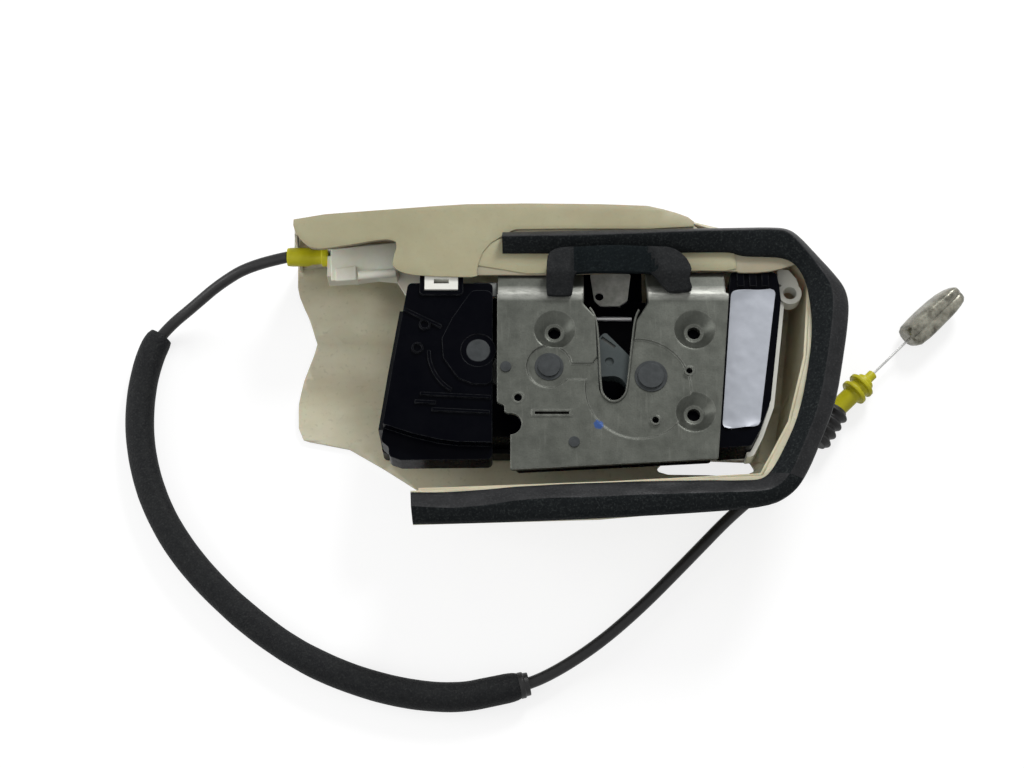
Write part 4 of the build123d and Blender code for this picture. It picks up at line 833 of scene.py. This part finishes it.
# Foam pad that wraps the mouth of the slot: two arms and a lower band between them
mouthPad = {"outline": [
    (-24.3, 36.4), (-16.2, 36.4), (-15.1, 37.4), (-14.6, 44.6), (-13.2, 46.1), (14.0, 46.1), (16.0, 45.4),
    (18.6, 42.2), (21.0, 38.8), (22.8, 37.6), (30.6, 38.4), (31.0, 39.2), (30.0, 41.4), (30.0, 44.2), (30.9, 46.0),
    (28.3, 51.2), (23.4, 54.7), (17.0, 55.0), (0.0, 55.9), (-14.0, 55.0), (-21.1, 54.4), (-24.6, 52.0),
    (-25.2, 47.6), (-25.2, 37.4)],
    "grid": 1.3, "armLevel": 6.6, "foldAt": 44.6, "footLevel": 2.2, "bandTop": 6.0, "bandLow": 2.6,
    "under": 0.5, "edge": 0.7}


def flatFace(name, outline, level):
    # One face whose corners are laid on the outline
    bpy.ops.object.select_all(action="DESELECT")
    bpy.ops.mesh.primitive_circle_add(vertices=len(outline), radius=1, fill_type="NGON")
    obj = bpy.context.object
    obj.name = name
    for vertex, (x, y) in zip(obj.data.vertices, outline):
        vertex.co = atMm(x, y, level)
    return obj


def cutAcross(obj, axis, low, high, step):
    # Cuts the mesh along parallel planes so that it can bend
    pick(obj)
    normal = [0, 0, 0]
    normal[axis] = 1
    place = low
    while place < high:
        editMode("SELECT")
        centre = [0, 0, 0]
        centre[axis] = place * mm
        bpy.ops.mesh.bisect(plane_co=centre, plane_no=normal)
        objectMode()
        place += step


def padLevel(x, y):
    pad = mouthPad
    lean = 0.42 * (y - 46.0)
    inBand = min(1.0, max(0.0, (x + 15.6) / 1.6)) * min(1.0, max(0.0, (18.3 - lean - x) / 1.6))
    fold = min(1.0, max(0.0, (pad["foldAt"] - y) / 8.0))
    arm = pad["armLevel"] + (pad["footLevel"] - pad["armLevel"]) * fold
    down = min(1.0, max(0.0, (54.6 - y) / 8.5))
    band = pad["bandTop"] + (pad["bandLow"] - pad["bandTop"]) * down
    return arm + (min(band, arm) - arm) * inBand


def makeMouthPad():
    pad = mouthPad
    outline = [(p.x, p.y) for p in softened([Vector((x, y, 0)) for x, y in pad["outline"]], 1, closed=True)]
    obj = flatFace("mouthPad", outline, 0)
    cutAcross(obj, 0, -25, 31, pad["grid"])
    cutAcross(obj, 1, 37, 56, pad["grid"])
    pick(obj)
    editMode("SELECT")
    bpy.ops.mesh.extrude_region_move(TRANSFORM_OT_translate={"value": (0, 0, 1)})
    bpy.ops.mesh.select_all(action="SELECT")
    bpy.ops.mesh.normals_make_consistent(inside=False)
    objectMode()
    for vertex in obj.data.vertices:
        x, y = vertex.co.x / mm, vertex.co.y / mm
        if vertex.co.z > 0.5:
            dent = 0.12 * noise.noise(vertex.co * 150) + 0.2 * noise.noise(Vector((x * 0.05, y * 0.05, 1.0)))
            vertex.co.z = (padLevel(x, y) + dent) * mm
        else:
            vertex.co.z = pad["under"] * mm
    softenEdges(obj, pad["edge"], 3, 42)
    for face in obj.data.polygons:
        x, y = face.center.x / mm, face.center.y / mm
        inBand = -14.9 < x < 17.6 - 0.42 * (y - 46.0) and y > 45.6
        face.material_index = 1 if inBand else 0
    return obj


# Shield: thin formed sheet that waves and creases; the flap is made of two layers
shield = {"grid": 5.0, "wave": 0.35, "bendFrom": -92.0,
          "edge": [(68.7, -127.2), (55.8, -126.3), (50.8, -124.5), (43.9, -121.1), (31.8, -117.2), (30.1, -118.0),
                   (18.0, -122.5), (9.8, -124.4), (-2.4, -124.0), (-7.3, -121.9), (-10.9, -103.4)],
          "oldEdge": [(68.7, -124.0), (45.2, -123.5), (36.4, -119.9), (23.3, -115.8), (3.9, -122.8),
                      (-2.4, -123.7), (-6.7, -121.6), (-10.9, -103.4)],
          "folds": [(66.0, 0.0), (54.0, 5.4), (45.0, 3.2), (38.0, 0.0), (31.0, 4.4), (29.5, 3.6), (12.0, 0.5),
                    (4.0, 2.2), (-12.0, 0.3)],
          "foldFrom": -78, "foldReach": 14, "deepFrom": -12, "deepReach": 20, "floor": -46.0,
          "rim": {"level": -4.2, "from": 15, "reach": 20, "pull": 0.022, "middle": (10, 8)}}


def alongSteps(steps, at):
    # Reads a table of (place, value) rows that run downward
    if at >= steps[0][0]:
        return steps[0][1]
    for (a, first), (b, second) in zip(steps, steps[1:]):
        if at >= b:
            return second + (first - second) * (at - b) / (a - b)
    return steps[-1][1]


def sheetWave(x, y):
    broad = noise.noise(Vector((x * 0.035, y * 0.05, 4.0)))
    fine = noise.noise(Vector((x * 0.11, y * 0.14, 9.0)))
    return shield["wave"] * (broad + 0.35 * fine)


def makeShieldTub():
    mesh = nodes["shield_tub"].data.copy()
    obj = bpy.data.objects.new("shieldTub", mesh)
    bpy.context.scene.collection.objects.link(obj)
    tidyMesh(obj)
    cutAcross(obj, 0, -122, -70, shield["grid"])
    cutAcross(obj, 1, -52, 74, shield["grid"])
    rim = shield["rim"]
    middleX, middleY = rim["middle"]
    for vertex in obj.data.vertices:
        x, y, z = vertex.co / mm
        if x < shield["bendFrom"] and z < -8 and y < 70:
            old = alongSteps(shield["oldEdge"], y)
            near = min(1.0, (shield["bendFrom"] - x) / (shield["bendFrom"] - old))
            x += (alongSteps(shield["edge"], y) - old) * near
        opened = min(1.0, max(0.0, (shield["foldFrom"] - x) / shield["foldReach"]))
        deep = min(1.0, max(0.0, (shield["deepFrom"] - z) / shield["deepReach"]))
        z += (alongSteps(shield["folds"], y) + sheetWave(x, y)) * opened * deep
        if z > rim["level"] and x > rim["from"]:
            inward = 1 - rim["pull"] * min(1.0, (x - rim["from"]) / rim["reach"])
            x, y = middleX + (x - middleX) * inward, middleY + (y - middleY) * inward
        vertex.co = atMm(x, y, max(z, shield["floor"]))
    smooth(obj, 38)
    return obj


flap = {"thick": 1.0, "level": -2.6, "topLayer": -1.95, "topThick": 0.5, "grid": 5.5,
        "under": [(-124.0, 71.0), (-124.4, 66.5), (-121.2, 61.6), (-118.1, 58.7), (-114.8, 57.7), (-111.4, 57.8),
                  (-101.7, 59.4), (-91.9, 61.3), (-86.4, 61.8), (-82.9, 60.3), (-85.4, 51.8), (-84.2, 49.3),
                  (-80.6, 47.6), (-74.3, 46.8), (-62.6, 46.4), (-51.7, 46.7), (-20.0, 46.7), (31.3, 48.6),
                  (49.4, 48.4), (49.6, 47.6), (60.1, 47.8), (68.0, 49.7), (74.0, 52.0), (78.5, 50.0),
                  (79.3, 48.5), (69.0, 60.0), (38.0, 64.0), (30.0, 70.0), (12.0, 75.2), (-50.0, 76.6), (-76.0, 75.0)],
        "left": [(33.0, 66.0), (-36.0, 66.0), (-39.0, 65.0), (-49.2, 58.3), (-52.5, 48.3), (-51.7, 45.3), (-62.6, 45.6),
                 (-74.3, 46.0), (-80.2, 46.9), (-83.6, 48.6), (-85.4, 51.4), (-83.1, 60.1), (-86.4, 61.6),
                 (-91.9, 61.1), (-101.7, 59.2), (-111.4, 57.6), (-114.8, 57.5), (-118.3, 58.5), (-121.4, 61.4),
                 (-124.5, 66.5), (-124.4, 71.4), (-76.0, 75.4), (-50.0, 77.2), (12.0, 76.6), (24.0, 73.8),
                 (33.0, 70.2)],
        "right": [(-54.0, 46.6), (31.3, 48.4), (48.9, 48.2), (48.9, 52.0), (47.6, 62.0), (31.3, 64.0),
                  (-54.0, 64.0)]}


def makeFlapLayer(name, outline, level, thick):
    corners = [(p.x, p.y) for p in softened([Vector((*place, 0)) for place in outline], 1, closed=True)]
    obj = flatFace(name, corners, 0)
    cutAcross(obj, 0, -124, 80, flap["grid"])
    cutAcross(obj, 1, 46, 75, flap["grid"])
    for vertex in obj.data.vertices:
        x, y = vertex.co.x / mm, vertex.co.y / mm
        vertex.co.z = (level + max(-0.4, min(0.2, sheetWave(x, y)))) * mm
    wall = obj.modifiers.new("sheet", "SOLIDIFY")
    wall.thickness = thick * mm
    wall.offset = 0
    softenEdges(obj, 0.18, 2, 50)
    return obj


# Rolled lip of the striker slot, bright where it turns over: it carries a lighter copy of the plate's zinc, which is a
# painted highlight
slotLip = {"width": 0.9, "rise": 0.1, "drop": 1.3, "line": [
    (-8.9, 31.9), (-7.0, 28.9), (-5.9, 22.0), (-5.3, 0.3), (-4.6, -3.6), (-2.2, -6.3), (0.2, -6.9), (2.7, -6.2),
    (5.2, -3.4), (6.0, 0.3), (7.6, 14.0), (9.3, 27.6), (10.9, 31.0)]}


def makeSlotLip():
    line = evenly(softened([atMm(x, y, 0) for x, y in slotLip["line"]], 3), 120)
    rings = []
    for (side, up), point in zip(crossFrames(line), line):
        ring = []
        for step in range(9):
            turn = math.pi * step / 8
            across = (math.cos(turn) * 0.5 + 0.5) * slotLip["width"]
            lift = slotLip["rise"] * math.sin(turn) - max(0.0, 0.45 - across) * slotLip["drop"]
            ring.append(point + side * (-across) * mm + Vector((0, 0, lift * mm)))
        rings.append(ring + [ring[-1] - Vector((0, 0, 0.5 * mm)), ring[0] - Vector((0, 0, 0.3 * mm))])
    obj = ringGrid("slotLip", rings)
    smooth(obj, 60)
    return obj


# Small flat pieces: floor behind the tongue, tab beside the plate, lid and block of the tray
flats = {
    "mouthFloor": {"outline": [(-12.5, 36.6), (13.5, 36.6), (13.5, 61.0), (-12.5, 61.0)], "low": -26.0, "high": -24.3},
    "sideTab": {"outline": [(-53.2, 44.6), (-44.0, 44.6), (-44.0, 38.6), (-53.7, 38.6)], "low": -5.6, "high": -4.5},
    "trayLid": {"outline": [(-110.9, 63.6), (-83.3, 66.7), (-85.5, 58.0), (-84.2, 53.2), (-84.1, 51.5),
                            (-98.8, 50.6), (-110.3, 50.0)], "low": -16.3, "high": -15.4},
    "trayBlock": {"outline": [(-108.5, 54.5), (-100.4, 55.8), (-100.1, 49.8), (-108.3, 49.2)],
                  "low": -15.6, "high": -13.9},
}
trayTube = {"from": (-99.5, 52.0, -15.0), "to": (-84.5, 53.1, -15.0), "radius": 1.7}


def makeFlat(name):
    part = flats[name]
    obj = flatFace(name, part["outline"], part["low"])
    pick(obj)
    editMode("SELECT")
    bpy.ops.mesh.extrude_region_move(TRANSFORM_OT_translate={"value": (0, 0, (part["high"] - part["low"]) * mm)})
    bpy.ops.mesh.select_all(action="SELECT")
    bpy.ops.mesh.normals_make_consistent(inside=False)
    objectMode()
    softenEdges(obj, 0.4, 3, 50)
    return obj


def makeTrayTube():
    start, end = Vector(trayTube["from"]), Vector(trayTube["to"])
    length, radius = (end - start).length, trayTube["radius"]
    stations = [(0, 0.3), (0, radius * 0.8), (0.5, radius), (length - 0.5, radius), (length, radius * 0.8),
                (length, 0.3)]
    obj = spun("trayTube", trayTube["from"], end - start, stations)
    smooth(obj, 50)
    return obj


# Finishes of the soft and clear pieces

def makeFoam(name, colour, worn, speck, rough=0.85, skin=False):
    # Cut foam: fine pale cells on a dark ground; a skin has fewer of them and more gloss
    material, tree, shader = finish(name, colour, worn, rough, mottle=160 if skin else 420, grain=1300,
                                    grainStrength=0.6 if skin else 1.0, grainDepth=0.15 if skin else 0.3,
                                    Specular_IOR_Level=0.14 if skin else 0.1)
    base = shader.inputs["Base Color"].links[0].from_socket
    cells = linkTexture(tree, "ShaderNodeTexNoise", 1150, Detail=3, Roughness=0.7)
    result = mixColour(tree, spread(tree, cells.outputs["Fac"], 0, 0.8, 0.52, 0.66), base, speck)
    tree.links.new(result, shader.inputs["Base Color"])
    return material


# The skin facet faces the key lamp and the foam facet faces away: the skin's lighter colour is partly the foam's own
# skin and partly painted light
rimFoam = makeFoam("rimFoam", (0.0050, 0.0065, 0.0075), (0.0100, 0.0120, 0.0130), (0.030, 0.034, 0.034))
rimSkinWithPaintedLight = makeFoam("rimSkinWithPaintedLight", (0.0095, 0.0100, 0.0110), (0.0200, 0.0205, 0.0220), (0.032, 0.033, 0.034), 0.36,
                   skin=True)
padFoam = makeFoam("padFoam", (0.010, 0.011, 0.012), (0.017, 0.018, 0.019), (0.026, 0.027, 0.028), 0.75)
padBand = makeFoam("padBand", (0.0030, 0.0052, 0.0062), (0.0055, 0.0085, 0.0100), (0.016, 0.021, 0.022))
sleeveFoam = makeFoam("sleeveFoam", (0.0075, 0.0080, 0.0090), (0.0140, 0.0150, 0.0155), (0.026, 0.027, 0.027), 0.6)
conduitSkin, _, _ = finish("conduitSkin", (0.006, 0.006, 0.0065), (0.012, 0.012, 0.012), 0.4, mottle=200,
                           grain=1700, grainStrength=0.3, Specular_IOR_Level=0.3)
bootRubber, _, _ = finish("bootRubber", (0.006, 0.006, 0.0065), (0.012, 0.012, 0.012), 0.5, mottle=220,
                          Specular_IOR_Level=0.3)
stickerFilm, _, _ = finish("stickerFilm", (0.40, 0.42, 0.47), (0.33, 0.35, 0.39), 0.38, metal=0.1, mottle=60,
                           grain=900, grainStrength=0.2, edge=0.05)
def makeSheetFinish(name, colour, worn):
    # Natural plastic sheet: slightly clear, with broad tan clouds and a few faint stains
    material, tree, shader = finish(name, colour, worn, 0.45, mottle=26, grain=900, grainStrength=0.12, edge=0.3,
                                    Subsurface_Weight=0.25, Subsurface_Scale=2 * mm, Specular_IOR_Level=0.3)
    base = shader.inputs["Base Color"].links[0].from_socket
    cloud = linkTexture(tree, "ShaderNodeTexNoise", 17, stretch=(0.6, 1.4, 1), Detail=5, Roughness=0.6)
    result = mixColour(tree, spread(tree, cloud.outputs["Fac"], 0, 0.45, 0.5, 0.72), base, (0.30, 0.24, 0.14))
    speck = linkTexture(tree, "ShaderNodeTexNoise", 620, Detail=2)
    result = mixColour(tree, spread(tree, speck.outputs["Fac"], 0, 0.25, 0.6, 0.75), result, (0.25, 0.24, 0.15))
    tree.links.new(result, shader.inputs["Base Color"])
    return material


# One sheet in lit and shaded copies: the floor copy is lighter, painted light against the shadow of the flap over it;
# the flap copies are darker, painted shade against the lamp that falls straight on them
shieldSheetPaintedLight = makeSheetFinish("shieldSheetPaintedLight", (0.62, 0.59, 0.45), (0.54, 0.505, 0.36))
flapSheetPaintedShade = makeSheetFinish("flapSheetPaintedShade", (0.37, 0.345, 0.222), (0.31, 0.287, 0.178))
flapUnderSheetPaintedShade = makeSheetFinish("flapUnderSheetPaintedShade", (0.36, 0.325, 0.235), (0.31, 0.275, 0.19))


def dress(obj, *finishes):
    # Clearing the slots would send every face back to the first, so a new mesh is only added to
    if len(obj.data.materials):
        obj.data.materials.clear()
    for material in finishes:
        obj.data.materials.append(material)


bandEnd = makeBand(sleeveLine)
bellows = makeBoot()
handleFitting = makeHandleFitting()
latchFitting = makeLatchFitting()
innerStrand = makeStrand()
wireClip = makeClip()
stickerObj = makeSticker()
rimSeal = makeRimSeal()
mouthPadObj = makeMouthPad()
shieldTub = makeShieldTub()
flapUnder = makeFlapLayer("flapUnder", flap["under"], flap["level"], flap["thick"])
flapLeft = makeFlapLayer("flapLeft", flap["left"], flap["topLayer"] + 0.35, flap["topThick"])
flapRight = makeFlapLayer("flapRight", flap["right"], flap["topLayer"], flap["topThick"])
slotLipObj = makeSlotLip()
smallFlats = {name: makeFlat(name) for name in flats}
trayTubeObj = makeTrayTube()

dress(curveObj, conduitSkin)
dress(sleeveObj, sleeveFoam)
dress(bandEnd, conduitSkin)
dress(bellows, bootRubber)
dress(handleFitting, yellowPlastic)
dress(latchFitting, yellowPlastic)
dress(innerStrand, wireSteel)
dress(stickerObj, stickerFilm)
dress(rimSeal, rimFoam, rimSkinWithPaintedLight)
dress(mouthPadObj, padFoam, padBand)
dress(shieldTub, shieldSheetPaintedLight)
dress(flapUnder, flapUnderSheetPaintedShade)
dress(flapLeft, flapSheetPaintedShade)
dress(flapRight, flapSheetPaintedShade)
dress(slotLipObj, lipZincPaintedHighlight)
dress(smallFlats["mouthFloor"], blackPlastic)
dress(smallFlats["sideTab"], toolSteel)
for trayPiece in (smallFlats["trayLid"], smallFlats["trayBlock"], trayTubeObj):
    dress(trayPiece, naturalPlastic)
dress(wireClip, clipPlastic)

standsFor = [
    (curveObj, "base", ["cable_conduit"], "conduit_skin"), (sleeveObj, "base", ["foam_sleeve"], "sleeve_foam"),
    (bandEnd, "base", ["sleeve_band"], "conduit_skin"),
    (bellows, "base", ["bellows_boot"], "black_plastic"),
    (handleFitting, "base", ["handle_end_fitting"], "yellow_plastic"),
    (latchFitting, "base", ["latch_end_fitting"], "yellow_plastic"),
    (innerStrand, "inner_wire", ["cable_wire"], "wire_steel"),
    (wireClip, "inner_wire", ["wire_end_clip"], "tin"), (stickerObj, "base", ["label"], "sticker"),
    (shieldTub, "base", ["shield_tub"], "shield_sheet"), (flapUnder, "base", ["shield_flap"], "shield_sheet"),
    (flapLeft, "base", [], "shield_sheet"), (flapRight, "base", [], "shield_sheet"),
    (slotLipObj, "base", [], "zinc_steel"), (smallFlats["mouthFloor"], "base", [], "black_plastic"),
    (smallFlats["sideTab"], "base", [], "tool_steel"), (smallFlats["trayLid"], "base", [], "natural_plastic"),
    (smallFlats["trayBlock"], "base", [], "natural_plastic"), (trayTubeObj, "base", [], "natural_plastic"),
    (rimSeal, "base", ["rim_seal"], "foam"), (mouthPadObj, "base", ["mouth_seal"], "foam"),
]
for piece, body, replaced, slotName in standsFor:
    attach(piece, body)
    if replaced:
        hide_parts(*replaced)

print("pieces ride on their bodies")
